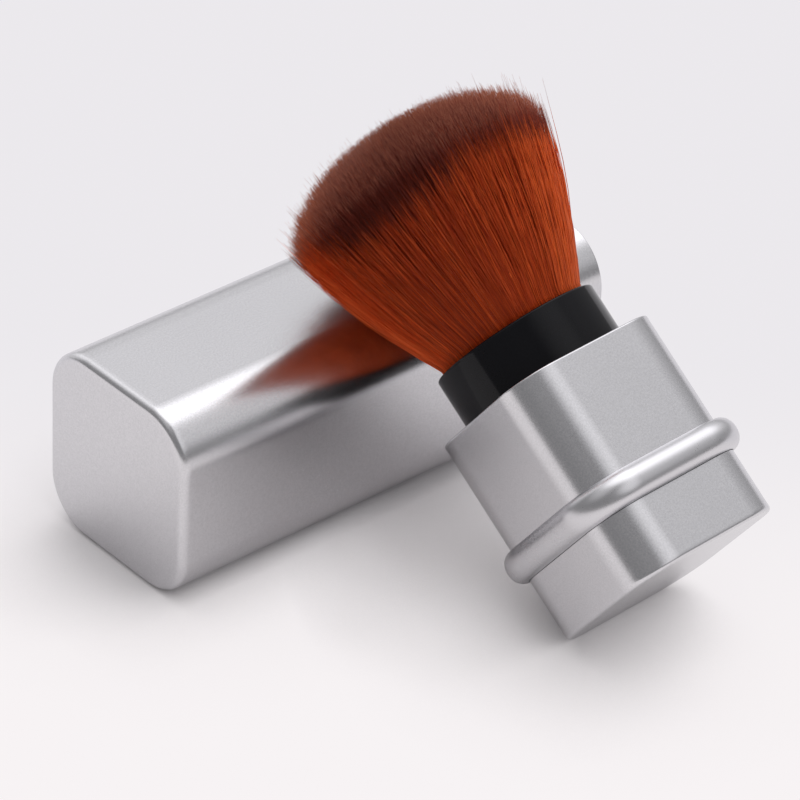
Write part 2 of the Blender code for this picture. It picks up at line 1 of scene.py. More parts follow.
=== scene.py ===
"""Looks of a retractable makeup brush that leans across its square cap.

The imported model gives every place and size. The visible pieces are made again here with fine rounded
edges and smooth corners, the hair is made strand by strand, and each piece gets its finish. The cap has
its own axes, from its closed end to its mouth, and so has the brush, from its foot to its hair.
"""

from __future__ import annotations

import json
import logging
import math
from dataclasses import dataclass, field, fields
from enum import Enum
from typing import Any, Mapping, Sequence, Union

import bpy
import numpy as np
from mathutils import Matrix, Vector


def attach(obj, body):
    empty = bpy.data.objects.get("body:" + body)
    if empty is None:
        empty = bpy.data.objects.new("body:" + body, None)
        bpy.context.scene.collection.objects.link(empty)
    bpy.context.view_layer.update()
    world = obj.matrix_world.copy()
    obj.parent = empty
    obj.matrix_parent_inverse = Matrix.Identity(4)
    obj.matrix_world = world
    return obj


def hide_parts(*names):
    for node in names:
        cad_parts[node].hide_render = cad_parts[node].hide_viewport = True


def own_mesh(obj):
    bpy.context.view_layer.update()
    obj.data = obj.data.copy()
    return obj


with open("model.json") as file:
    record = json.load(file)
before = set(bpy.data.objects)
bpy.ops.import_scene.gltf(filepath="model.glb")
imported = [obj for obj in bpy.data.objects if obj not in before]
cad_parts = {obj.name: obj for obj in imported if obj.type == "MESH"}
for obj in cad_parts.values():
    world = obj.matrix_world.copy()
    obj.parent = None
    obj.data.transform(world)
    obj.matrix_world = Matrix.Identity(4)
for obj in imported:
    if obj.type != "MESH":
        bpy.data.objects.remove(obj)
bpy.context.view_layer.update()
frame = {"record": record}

LOG = logging.getLogger("brush")
MM = 0.001
UP = Vector((0.0, 0.0, 1.0))
GOLDEN_SHARE = (math.sqrt(5) - 1) / 2
SHARP_ANGLE = math.radians(35)
SUPPORT_SHARE = 1.4

Color = tuple[float, float, float]
Profile = list[tuple[float, float]]


class Body(Enum):
    """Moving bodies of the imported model."""

    CORE = "brush_core"
    SLEEVE = "sleeve"
    CAP = "cap"


class Slot(Enum):
    """Material slots of the record."""

    SATIN = "satin_aluminium"
    POLISHED = "polished_aluminium"
    NATURAL = "natural_plastic"
    GLOSS = "black_gloss_plastic"
    MATTE = "black_matte_plastic"
    RUBBER = "black_rubber"
    GLUE = "glue"
    HAIR = "copper_hair"
    STEEL = "plated_steel"


class Plan(Enum):
    """Outline of a piece, seen along its axis."""

    SQUARE = "rounded square"
    ROUND = "circle"


class Draw(Enum):
    """What a random number of a hair decides."""

    PLACE = 1
    SWING = 2
    SWAY = 3
    STRAY = 4
    LENGTH = 5
    TINT = 6
    PHASE = 7
    REACH = 8


# Node graphs


class Wire:
    """A node socket that Python expressions carry on."""

    def __init__(self, graph: Graph, socket: bpy.types.NodeSocket) -> None:
        """Hold a socket of a graph."""
        self.graph = graph
        self.socket = socket

    def math(self, operation: str, *others: Number) -> Wire:
        """Add a Math node.

        Args:
            operation: The node's operation.
            others: The further operands.

        Returns:
            The node's result.
        """
        values = dict(enumerate((self, *others)))
        return self.graph.read("ShaderNodeMath", {"operation": operation}, values)

    def __add__(self, other: Number) -> Wire:
        """Sum."""
        return self.math("ADD", other)

    __radd__ = __add__

    def __mul__(self, other: Number) -> Wire:
        """Product."""
        return self.math("MULTIPLY", other)

    __rmul__ = __mul__

    def __sub__(self, other: Number) -> Wire:
        """Difference."""
        return self.math("SUBTRACT", other)

    def __rsub__(self, other: Number) -> Wire:
        """Difference, with the wire on the right."""
        return self.graph.read("ShaderNodeMath", {"operation": "SUBTRACT"}, {0: other, 1: self})

    def __truediv__(self, other: Number) -> Wire:
        """Quotient."""
        return self.math("DIVIDE", other)

    def limited(self, low: Number, high: Number) -> Wire:
        """Keep the value between two others."""
        return self.math("MAXIMUM", low).math("MINIMUM", high)

    def smooth(self, start: Number, end: Number) -> Wire:
        """Rise smoothly from 0 at start to 1 at end."""
        values = {"Value": self, "From Min": start, "From Max": end}
        return self.graph.read("ShaderNodeMapRange", {"interpolation_type": "SMOOTHSTEP"}, values)

    def equals(self, number: int) -> Wire:
        """1 where a whole value is this number, otherwise 0."""
        return self.math("COMPARE", number, 0.5)

    def dot(self, direction: Sequence[float]) -> Wire:
        """Reach of this vector along a direction."""
        values = {0: self, 1: tuple(direction)}
        return self.graph.read("ShaderNodeVectorMath", {"operation": "DOT_PRODUCT"}, values, "Value")


Number = Union[Wire, float, int]


class Graph:
    """A node tree that is built by method calls."""

    def __init__(self, tree: bpy.types.NodeTree) -> None:
        """Hold a tree."""
        self.tree = tree

    @staticmethod
    def socket(sockets: Any, name: Union[str, int, None]) -> bpy.types.NodeSocket:
        """Find a socket.

        Args:
            sockets: A node's inputs or outputs.
            name: Its name among those in use, or its place, or None for the first in use.

        Returns:
            The socket.
        """
        if isinstance(name, int):
            return sockets[name]
        return next(item for item in sockets if item.enabled and name in (None, item.name))

    def add(
        self,
        kind: str,
        settings: Mapping[str, Any] | None = None,
        values: Mapping[Union[str, int], Any] | None = None,
    ) -> bpy.types.Node:
        """Add a node.

        Args:
            kind: The node's type.
            settings: The node's properties, set first.
            values: A value or a wire for each socket, by name or place.

        Returns:
            The node.
        """
        node = self.tree.nodes.new(kind)
        for name, value in (settings or {}).items():
            setattr(node, name, value)
        for name, value in (values or {}).items():
            target = self.socket(node.inputs, name)
            if isinstance(value, Wire):
                self.tree.links.new(value.socket, target)
            else:
                target.default_value = value
        return node

    def read(
        self,
        kind: str,
        settings: Mapping[str, Any] | None = None,
        values: Mapping[Union[str, int], Any] | None = None,
        output: Union[str, int, None] = None,
    ) -> Wire:
        """Add a node and read one of its outputs, the first one in use unless it is named."""
        node = self.add(kind, settings, values)
        return Wire(self, self.socket(node.outputs, output))

    def feed(self, node: bpy.types.Node, name: str, wire: Wire) -> None:
        """Link a wire to a socket of a node."""
        self.tree.links.new(wire.socket, self.socket(node.inputs, name))

    def mix(self, factor: Number, low: Any, high: Any) -> Wire:
        """Mix two colours.

        Args:
            factor: How much of the second.
            low: The first.
            high: The second.

        Returns:
            The mixed colour.
        """
        values = {
            "Factor": factor,
            "A": low if isinstance(low, Wire) else (*low, 1.0),
            "B": high if isinstance(high, Wire) else (*high, 1.0),
        }
        return self.read("ShaderNodeMix", {"data_type": "RGBA"}, values)

    def noise(self, vector: Wire, size: float, detail: float = 2.0) -> Wire:
        """Soft noise with features of about this size."""
        values = {"Vector": vector, "Scale": 1 / size, "Detail": detail}
        return self.read("ShaderNodeTexNoise", values=values)

    def attribute(self, name: str, output: str = "Fac") -> Wire:
        """Read what a piece's mesh stores under a name."""
        return self.read("ShaderNodeAttribute", {"attribute_name": name}, output=output)

    def store(self, geometry: Wire, kind: str, name: str, value: Wire) -> Wire:
        """Store a value at each point of a geometry.

        Args:
            geometry: The geometry.
            kind: The value's data type.
            name: The name to store it under.
            value: The value.

        Returns:
            The geometry that holds it.
        """
        settings = {"data_type": kind, "domain": "POINT"}
        values = {"Geometry": geometry, "Name": name, "Value": value}
        return self.read("GeometryNodeStoreNamedAttribute", settings, values)

    def vector(self, x: Number, y: Number, z: Number) -> Wire:
        """Join three numbers into a vector."""
        return self.read("ShaderNodeCombineXYZ", values={"X": x, "Y": y, "Z": z})


# Finishes


@dataclass(frozen=True)
class Finish:
    """A surface finish that several pieces share."""

    slot: Slot
    color: Color
    roughness: float

    def make(self) -> bpy.types.Material:
        """Build the finish.

        Returns:
            The material.
        """
        material = bpy.data.materials.new(self.slot.value)
        material.use_nodes = True
        graph = Graph(material.node_tree)
        shader = material.node_tree.nodes["Principled BSDF"]
        shader.inputs["Base Color"].default_value = (*self.color, 1.0)
        shader.inputs["Roughness"].default_value = self.roughness
        place = graph.read("ShaderNodeTexCoord", output="Object")
        self.dress(graph, shader, place)
        return material

    def dress(self, graph: Graph, shader: bpy.types.Node, place: Wire) -> None:
        """Add what changes over the surface.

        Args:
            graph: The material's graph.
            shader: Its surface shader.
            place: The point on the piece.
        """
        raise NotImplementedError

    def bump(self, graph: Graph, shader: bpy.types.Node, height: Wire, depth: float) -> None:
        """Raise the surface by a height from 0 to 1 times the depth."""
        values = {"Height": height, "Distance": depth}
        graph.feed(shader, "Normal", graph.read("ShaderNodeBump", values=values))


@dataclass(frozen=True)
class Metal(Finish):
    """Anodised or plated metal, with a fine grain from blasting or brushing."""

    grain: float = 0.24 * MM
    grain_depth: float = 0.0042 * MM
    sparkle: float = 0.05
    contrast: tuple[float, float] = (0.3, 0.7)
    grain_rough: float = 0.3
    cloud: float = 9.0 * MM
    cloud_rough: float = 0.16
    stretch: float = 1.0

    def dress(self, graph: Graph, shader: bpy.types.Node, place: Wire) -> None:
        """Add the grain to the colour, the roughness and the relief.

        Args:
            graph: The material's graph.
            shader: Its surface shader.
            place: The point on the piece.
        """
        shader.inputs["Metallic"].default_value = 1.0
        scaled = graph.read("ShaderNodeMapping", values={"Vector": place, "Scale": (1.0, 1.0, self.stretch)})
        grain = graph.noise(scaled, self.grain, detail=3.0)
        cloud = graph.noise(place, self.cloud)
        shade = [channel * (1 - self.sparkle) for channel in self.color]
        light = [min(1.0, channel * (1 + self.sparkle)) for channel in self.color]
        graph.feed(shader, "Base Color", graph.mix(grain.smooth(*self.contrast), shade, light))
        uneven = (grain - 0.5) * self.grain_rough + (cloud - 0.5) * self.cloud_rough
        graph.feed(shader, "Roughness", self.roughness * (1 + uneven))
        self.bump(graph, shader, grain, self.grain_depth)


@dataclass(frozen=True)
class Plastic(Finish):
    """Moulded plastic or rubber, with the fine texture of its mould."""

    texture: float = 0.25 * MM
    texture_depth: float = 0.002 * MM
    contrast: tuple[float, float] = (0.35, 0.65)
    lift: float = 1.25
    smear: float = 5.0 * MM
    clean_rough: float = 0.85
    smear_rough: float = 0.3
    texture_rough: float = 0.1
    specular: float = 0.5

    def dress(self, graph: Graph, shader: bpy.types.Node, place: Wire) -> None:
        """Add handling marks to the gloss and the mould's texture to the relief.

        Args:
            graph: The material's graph.
            shader: Its surface shader.
            place: The point on the piece.
        """
        shader.inputs["Specular IOR Level"].default_value = self.specular
        texture = graph.noise(place, self.texture)
        smear = graph.noise(place, self.smear, detail=4.0)
        light = [channel * self.lift for channel in self.color]
        graph.feed(shader, "Base Color", graph.mix(texture.smooth(*self.contrast), self.color, light))
        rough = self.clean_rough + smear * self.smear_rough + texture * self.texture_rough
        graph.feed(shader, "Roughness", self.roughness * rough)
        self.bump(graph, shader, texture, self.texture_depth)


@dataclass(frozen=True)
class Fibre(Finish):
    """Dyed hair: one colour along the strand and a dark band at the tip, with painted light and shade stored
    in each strand.
    """

    deep_color: Color = (0.4, 0.028, 0.003)
    bright_color: Color = (1.0, 0.165, 0.03)
    tip_color: Color = (0.1, 0.011, 0.006)
    tip_bright_color: Color = (0.3, 0.045, 0.022)
    end_color: Color = (0.24, 0.062, 0.034)
    end_bright_color: Color = (0.56, 0.18, 0.095)
    band_start: float = 3.0 * MM
    band: float = 5.6 * MM
    end: float = 1.8 * MM
    streak: float = 0.013
    streak_length: float = 7.0
    streak_gain: float = 0.9
    tint_rough: float = 0.12
    specular: float = 0.22

    def dress(self, graph: Graph, shader: bpy.types.Node, place: Wire) -> None:
        """Colour each strand by its distance from the tip, its own tone with painted light and shade in it,
        and short streaks along it.

        Args:
            graph: The material's graph.
            shader: Its surface shader.
            place: The point on the piece; not used.
        """
        to_tip = graph.attribute("to_tip")
        values = {"Vector": graph.attribute("spot", "Vector"), "Scale": (1.0, 1.0, 1 / self.streak_length)}
        streak = graph.noise(graph.read("ShaderNodeMapping", values=values), self.streak, detail=3.0)
        # The strand's stored tone holds painted shade between clumps and a painted rim light at the tuft's
        # edges.
        tint = (graph.attribute("tint") + (streak - 0.5) * self.streak_gain).limited(0.0, 1.0)
        length = graph.mix(tint, self.deep_color, self.bright_color)
        tip = graph.mix(tint, self.tip_color, self.tip_bright_color)
        # The band's stored shift holds painted shade on the side away from the light and painted light on
        # the lit edge.
        dyed = (to_tip - graph.attribute("band_shift")).smooth(self.band_start, self.band)
        banded = graph.mix(dyed, tip, length)
        end = graph.mix(tint, self.end_color, self.end_bright_color)
        ended = graph.mix(to_tip.smooth(0.0, self.end), end, banded)
        graph.feed(shader, "Base Color", ended)
        graph.feed(shader, "Roughness", self.roughness + (tint - 0.5) * self.tint_rough)
        shader.inputs["Specular IOR Level"].default_value = self.specular


@dataclass(frozen=True)
class Palette:
    """Every finish of the object."""

    satin: Finish = Metal(Slot.SATIN, (0.70, 0.696, 0.713), 0.25)
    polished: Finish = Metal(
        Slot.POLISHED, (0.705, 0.7, 0.718), 0.29, grain_depth=0.0012 * MM, sparkle=0.015
    )
    natural: Finish = Plastic(Slot.NATURAL, (0.62, 0.61, 0.58), 0.4)
    gloss: Finish = Plastic(
        Slot.GLOSS, (0.005, 0.005, 0.0065), 0.09, texture_depth=0.0003 * MM, specular=0.2
    )
    matte: Finish = Plastic(Slot.MATTE, (0.018, 0.018, 0.02), 0.45)
    rubber: Finish = Plastic(Slot.RUBBER, (0.012, 0.012, 0.012), 0.65, specular=0.3)
    glue: Finish = Plastic(Slot.GLUE, (0.22, 0.13, 0.05), 0.25)
    hair: Finish = Fibre(Slot.HAIR, (0.74, 0.09, 0.012), 0.4)
    steel: Finish = Metal(Slot.STEEL, (0.52, 0.52, 0.53), 0.34, stretch=0.2)

    def make(self) -> dict[Slot, bpy.types.Material]:
        """Build all the materials."""
        finishes = (getattr(self, item.name) for item in fields(self))
        return {finish.slot: finish.make() for finish in finishes}


# Shapes


@dataclass(frozen=True)
class Axes:
    """A sub-assembly's own axes: its origin, and Z along its length."""

    origin: Vector
    x: Vector
    z: Vector

    @property
    def matrix(self) -> Matrix:
        """Turn and shift from these axes to the world.

        Returns:
            The matrix.
        """
        y = self.z.cross(self.x)
        turn = Matrix((self.x, y, self.z)).transposed().to_4x4()
        return Matrix.Translation(self.origin) @ turn

    def points(self, node: str) -> np.ndarray:
        """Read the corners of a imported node.

        Args:
            node: The node's name.

        Returns:
            Their places in these axes, one row each.
        """
        mesh = bpy.data.objects[node].data
        flat = np.empty(len(mesh.vertices) * 3)
        mesh.vertices.foreach_get("co", flat)
        back = np.array(self.matrix.inverted())
        return flat.reshape(-1, 3) @ back[:3, :3].T + back[:3, 3]

    def span(self, node: str) -> tuple[float, float]:
        """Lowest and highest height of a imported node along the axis."""
        heights = self.points(node)[:, 2]
        return float(heights.min()), float(heights.max())

    def half(self, node: str) -> float:
        """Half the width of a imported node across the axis."""
        return float(np.abs(self.points(node)[:, :2]).max())

    def bore(self, node: str) -> float:
        """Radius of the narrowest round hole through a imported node."""
        points = self.points(node)
        return float(np.hypot(points[:, 0], points[:, 1]).min())


@dataclass(frozen=True)
class Ring:
    """One outline of a lofted piece, at a height along its axis."""

    half: float
    corner: float
    height: float
    plan: Plan = Plan.SQUARE


@dataclass
class Loft:
    """A smooth piece lofted through rounded squares, or through circles where a ring says so."""

    corner_steps: int = 20
    flat_steps: int = 1
    support: float = 0.12 * MM
    support_share: float = 0.25

    def outline(self, ring: Ring) -> np.ndarray:
        """Lay out a ring's points, with supports that keep the flats flat.

        Args:
            ring: The ring.

        Returns:
            Its points, anticlockwise, one row each.
        """
        reach = ring.half - ring.corner
        support = min(self.support, reach * self.support_share)
        shares = np.linspace(-reach + support, reach - support, self.flat_steps + 1)
        points: list[tuple[float, float]] = []
        for quarter, (along, across) in enumerate(((1, 1), (-1, 1), (-1, -1), (1, -1))):
            for step in range(self.corner_steps + 1):
                angle = math.pi / 2 * (quarter + step / self.corner_steps)
                x = along * reach + ring.corner * math.cos(angle)
                y = across * reach + ring.corner * math.sin(angle)
                points.append((x, y))
            turn = math.pi / 2 * (quarter + 1)
            for share in shares:
                x = ring.half * math.cos(turn) - share * math.sin(turn)
                y = ring.half * math.sin(turn) + share * math.cos(turn)
                points.append((x, y))
        flat = np.array(points)
        if ring.plan is Plan.ROUND:
            angles = np.arctan2(flat[:, 1], flat[:, 0])
            flat = ring.half * np.stack((np.cos(angles), np.sin(angles)), axis=1)
        return np.column_stack((flat, np.full(len(flat), ring.height)))

    def mesh(self, name: str, rings: Sequence[Ring], closed: bool = False) -> bpy.types.Mesh:
        """Loft through the rings.

        Args:
            name: The mesh's name.
            rings: The outlines in order.
            closed: Whether the last ring joins the first. Otherwise both ends are faced.

        Returns:
            A closed mesh with its faces pointing out.
        """
        rows = np.array([self.outline(ring) for ring in rings])
        count, around = rows.shape[:2]
        index = np.arange(count * around).reshape(count, around)
        after = np.roll(index, -1, axis=1)
        last = count if closed else count - 1
        faces: list[list[int]] = []
        for row in range(last):
            following = (row + 1) % count
            quads = (index[row], after[row], after[following], index[following])
            faces += np.stack(quads, axis=1).tolist()
        if not closed:
            faces += [index[0][::-1].tolist(), index[-1].tolist()]
        mesh = bpy.data.meshes.new(name)
        mesh.from_pydata(rows.reshape(-1, 3).tolist(), [], faces)
        return mesh


@dataclass
class Turning(Loft):
    """A turned piece."""

    steps: int = 96

    def outline(self, ring: Ring) -> np.ndarray:
        """Lay out a circle.

        Args:
            ring: Its radius and height.

        Returns:
            Its points, anticlockwise, one row each.
        """
        angles = np.linspace(0, 2 * math.pi, self.steps, endpoint=False)
        heights = np.full(self.steps, ring.height)
        return np.column_stack((ring.half * np.cos(angles), ring.half * np.sin(angles), heights))


def signed_volume(mesh: bpy.types.Mesh) -> float:
    """Measure the volume inside a mesh.

    Args:
        mesh: A closed mesh.

    Returns:
        The volume, negative where the faces point in.
    """
    mesh.calc_loop_triangles()
    places = np.empty(len(mesh.vertices) * 3)
    mesh.vertices.foreach_get("co", places)
    corners = np.empty(len(mesh.loop_triangles) * 3, np.int64)
    mesh.loop_triangles.foreach_get("vertices", corners)
    a, b, c = places.reshape(-1, 3)[corners.reshape(-1, 3)].transpose(1, 0, 2)
    return float((a * np.cross(b, c)).sum() / 6)


def rounded(profile: Sequence[tuple[float, float, float]], steps: int = 4) -> Profile:
    """Round the corners of a closed profile.

    Args:
        profile: Points as (out, height, radius of the corner there).
        steps: Facets of each round.

    Returns:
        The points, with a support beside each round that keeps the straight stretches flat.
    """
    points: Profile = []
    for index, (out, height, radius) in enumerate(profile):
        here = Vector((out, height))
        before = (Vector(profile[index - 1][:2]) - here).normalized()
        after = (Vector(profile[(index + 1) % len(profile)][:2]) - here).normalized()
        if radius == 0:
            points.append((out, height))
            continue
        half_angle = before.angle(after) / 2
        setback = radius / math.tan(half_angle)
        center = here + (before + after).normalized() * (radius / math.sin(half_angle))
        first = here + before * setback - center
        last = here + after * setback - center
        start = math.atan2(first.y, first.x)
        sweep = math.remainder(math.atan2(last.y, last.x) - start, 2 * math.pi)
        points.append(tuple(here + before * (setback * SUPPORT_SHARE)))
        for step in range(steps + 1):
            angle = start + sweep * step / steps
            points.append((center.x + radius * math.cos(angle), center.y + radius * math.sin(angle)))
        points.append(tuple(here + after * (setback * SUPPORT_SHARE)))
    return points


@dataclass
class SubAssembly:
    """Pieces that share their axes and finishes and move with one body."""

    axes: Axes
    looks: Mapping[Slot, bpy.types.Material]
    body: Body

    def finish(
        self,
        mesh: bpy.types.Mesh,
        slot: Slot,
        replaced: str | None = None,
        sharp: float = SHARP_ANGLE,
    ) -> bpy.types.Object:
        """Place a piece, dress it and hang it on the body.

        Args:
            mesh: The piece in the sub-assembly's axes.
            slot: The slot of the record that its finish comes from.
            replaced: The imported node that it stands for.
            sharp: Edges sharper than this angle shade sharp.

        Returns:
            The piece.
        """
        mesh.transform(self.axes.matrix)
        if signed_volume(mesh) < 0:
            mesh.flip_normals()
        mesh.materials.clear()
        mesh.materials.append(self.looks[slot])
        mesh.shade_smooth()
        mesh.set_sharp_from_angle(angle=sharp)
        piece = bpy.data.objects.new(mesh.name, mesh)
        bpy.context.scene.collection.objects.link(piece)
        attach(piece, self.body.value)
        if replaced:
            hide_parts(replaced)
        LOG.info("%s: %d faces, on %s", piece.name, len(mesh.polygons), self.body.value)
        return piece

    def keep(self, slot: Slot, *nodes: str) -> None:
        """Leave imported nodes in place, with their finish.

        Args:
            slot: The finish.
            nodes: The nodes' names.
        """
        for node in nodes:
            mesh = bpy.data.objects[node].data
            mesh.materials.clear()
            mesh.materials.append(self.looks[slot])
            LOG.info("%s: kept, in %s", node, slot.value)


def evaluated(tree: bpy.types.GeometryNodeTree, name: str, inputs: Mapping[str, Any]) -> bpy.types.Mesh:
    """Run a geometry node tree once and keep its mesh.

    Args:
        tree: The tree.
        name: The mesh's name.
        inputs: The tree's inputs by name.

    Returns:
        The plain mesh.
    """
    holder = bpy.data.objects.new(name, bpy.data.meshes.new(name + "_seed"))
    bpy.context.scene.collection.objects.link(holder)
    modifier = holder.modifiers.new(tree.name, "NODES")
    modifier.node_group = tree
    for item in tree.interface.items_tree:
        if item.in_out == "INPUT" and item.name in inputs:
            modifier[item.identifier] = inputs[item.name]
    graph = bpy.context.evaluated_depsgraph_get()
    mesh = bpy.data.meshes.new_from_object(holder.evaluated_get(graph), depsgraph=graph)
    mesh.name = name
    bpy.data.objects.remove(holder)
    return mesh


class TreeInputs:
    """The named inputs of a geometry node tree that starts from nothing."""

    def __init__(self, name: str, inputs: Mapping[str, str]) -> None:
        """Make a tree.

        Args:
            name: The tree's name.
            inputs: The type of socket of each input.
        """
        self.tree = bpy.data.node_groups.new(name, "GeometryNodeTree")
        self.tree.interface.new_socket("Mesh", in_out="OUTPUT", socket_type="NodeSocketGeometry")
        for label, kind in inputs.items():
            self.tree.interface.new_socket(label, in_out="INPUT", socket_type=kind)
        self.graph = Graph(self.tree)
        self.start = self.graph.add("NodeGroupInput")

    def __getitem__(self, name: str) -> Wire:
        """Read an input."""
        return Wire(self.graph, self.start.outputs[name])

    def end(self, geometry: Wire, material: Wire) -> bpy.types.GeometryNodeTree:
        """Realize the instances, set the material and finish the tree.

        Args:
            geometry: What the tree makes.
            material: Its finish.

        Returns:
            The tree.
        """
        real = self.graph.read("GeometryNodeRealizeInstances", values={"Geometry": geometry})
        values = {"Geometry": real, "Material": material}
        dressed = self.graph.read("GeometryNodeSetMaterial", values=values)
        self.graph.add("NodeGroupOutput", values={0: dressed})
        return self.tree


# Cap


@dataclass
class Cap(SubAssembly):
    """The square cap: a drawn shell and a ribbed plastic liner in its mouth."""

    corner: float = 7.8 * MM
    wall: float = 0.5 * MM
    end_edge: float = 1.15 * MM
    mouth_edge: float = 0.14 * MM
    liner_wall: float = 0.45 * MM
    liner_edge: float = 0.12 * MM
    glue: float = 0.1 * MM
    rib_height: float = 0.1 * MM
    rib_width: float = 1.0 * MM
    rib_length: float = 13.0 * MM
    rib_spacing: float = 7.0 * MM
    ribs: int = 8
    loft: Loft = field(default_factory=Loft)

    def build(self) -> None:
        """Make the cap's pieces."""
        self.make_shell()
        self.make_liner()
        self.make_ribs()

    def make_shell(self) -> None:
        """Shell closed at its end, with an even wall."""
        foot, mouth = self.axes.span("cap_shell")
        half = self.axes.half("cap_shell")
        rings = cup_rings(half, self.corner, foot, mouth, self.wall, self.end_edge, self.mouth_edge)
        self.finish(self.loft.mesh("cap_drawn_shell", rings), Slot.SATIN, "cap_shell")

    def make_liner(self) -> None:
        """Thin liner with softened ends."""
        ends = self.axes.span("cap_liner")
        half = self.axes.half("cap_liner")
        corner = self.corner - self.wall - self.glue
        rings = tube_rings(half, corner, ends, self.liner_wall, (self.liner_edge, self.liner_edge))
        self.finish(self.loft.mesh("cap_mouth_liner", rings, closed=True), Slot.NATURAL, "cap_liner")

    def rib_tree(self) -> bpy.types.GeometryNodeTree:
        """Two crush ribs on each inner flat: a box on points round the axis.

        Returns:
            The tree.
        """
        kinds = {
            "Reach": "NodeSocketFloat",
            "Spacing": "NodeSocketFloat",
            "Middle": "NodeSocketFloat",
            "Rib": "NodeSocketVector",
            "Material": "NodeSocketMaterial",
        }
        inputs = TreeInputs("grip_ribs", kinds)
        graph = inputs.graph
        index = graph.read("GeometryNodeInputIndex")
        quarter = (index / 2).math("FLOOR") * (math.pi / 2)
        side = (index.math("MODULO", 2) - 0.5) * inputs["Spacing"]
        cosine = quarter.math("COSINE")
        sine = quarter.math("SINE")
        x = inputs["Reach"] * cosine - side * sine
        y = inputs["Reach"] * sine + side * cosine
        place = graph.vector(x, y, inputs["Middle"])
        points = graph.read("GeometryNodePoints", values={"Count": self.ribs, "Position": place})
        box = graph.read("GeometryNodeMeshCube", values={"Size": inputs["Rib"]})
        values = {"Points": points, "Instance": box, "Rotation": graph.vector(0, 0, quarter)}
        ribs = graph.read("GeometryNodeInstanceOnPoints", values=values)
        return inputs.end(ribs, inputs["Material"])

    def make_ribs(self) -> None:
        """Crush ribs that grip the sleeve, half sunk in the liner."""
        foot, top = self.axes.span("cap_liner")
        inputs = {
            "Reach": self.axes.half("cap_liner") - self.liner_wall,
            "Spacing": self.rib_spacing,
            "Middle": (foot + top) / 2,
            "Rib": (2 * self.rib_height, self.rib_width, self.rib_length),
            "Material": self.looks[Slot.NATURAL],
        }
        self.finish(evaluated(self.rib_tree(), "cap_grip_ribs", inputs), Slot.NATURAL)


def tube_rings(
    half: float, corner: float, ends: tuple[float, float], wall: float, edges: tuple[float, float]
) -> list[Ring]:
    """Rings of a square tube, up its outside and down its inside.

    Args:
        half: Half its side.
        corner: Radius of its upright corners.
        ends: Heights of its foot and its top.
        wall: Thickness.
        edges: Radii that break the edges of its foot and its top.

    Returns:
        The rings.
    """
    inner = half - wall
    (foot, top), (low, high) = ends, edges
    profile = rounded(((half, foot, low), (half, top, high), (inner, top, high), (inner, foot, low)))
    return [Ring(out, corner + out - half, height) for out, height in profile]


def cup_rings(
    half: float, corner: float, foot: float, mouth: float, wall: float, foot_edge: float, lip: float
) -> list[Ring]:
    """Rings of a drawn square cup, from the middle of its foot round its mouth to its floor.

    Args:
        half: Half its side.
        corner: Radius of its upright corners.
        foot: Height of its closed end.
        mouth: Height of its open end.
        wall: Thickness.
        foot_edge: Radius of the edge round the closed end.
        lip: Radius that breaks the mouth's edges.

    Returns:
        The rings.
    """
    inner = half - wall
    floor = foot + wall
    inner_edge = max(foot_edge - wall, lip)
    corners = (
        (0.0, foot, 0.0),
        (half, foot, foot_edge),
        (half, mouth, lip),
        (inner, mouth, lip),
        (inner, floor, inner_edge),
        (0.0, floor, 0.0),
    )
    profile = rounded(corners, steps=6)[1:-1]
    return [Ring(out, corner + out - half, height) for out, height in profile]


# Sleeve


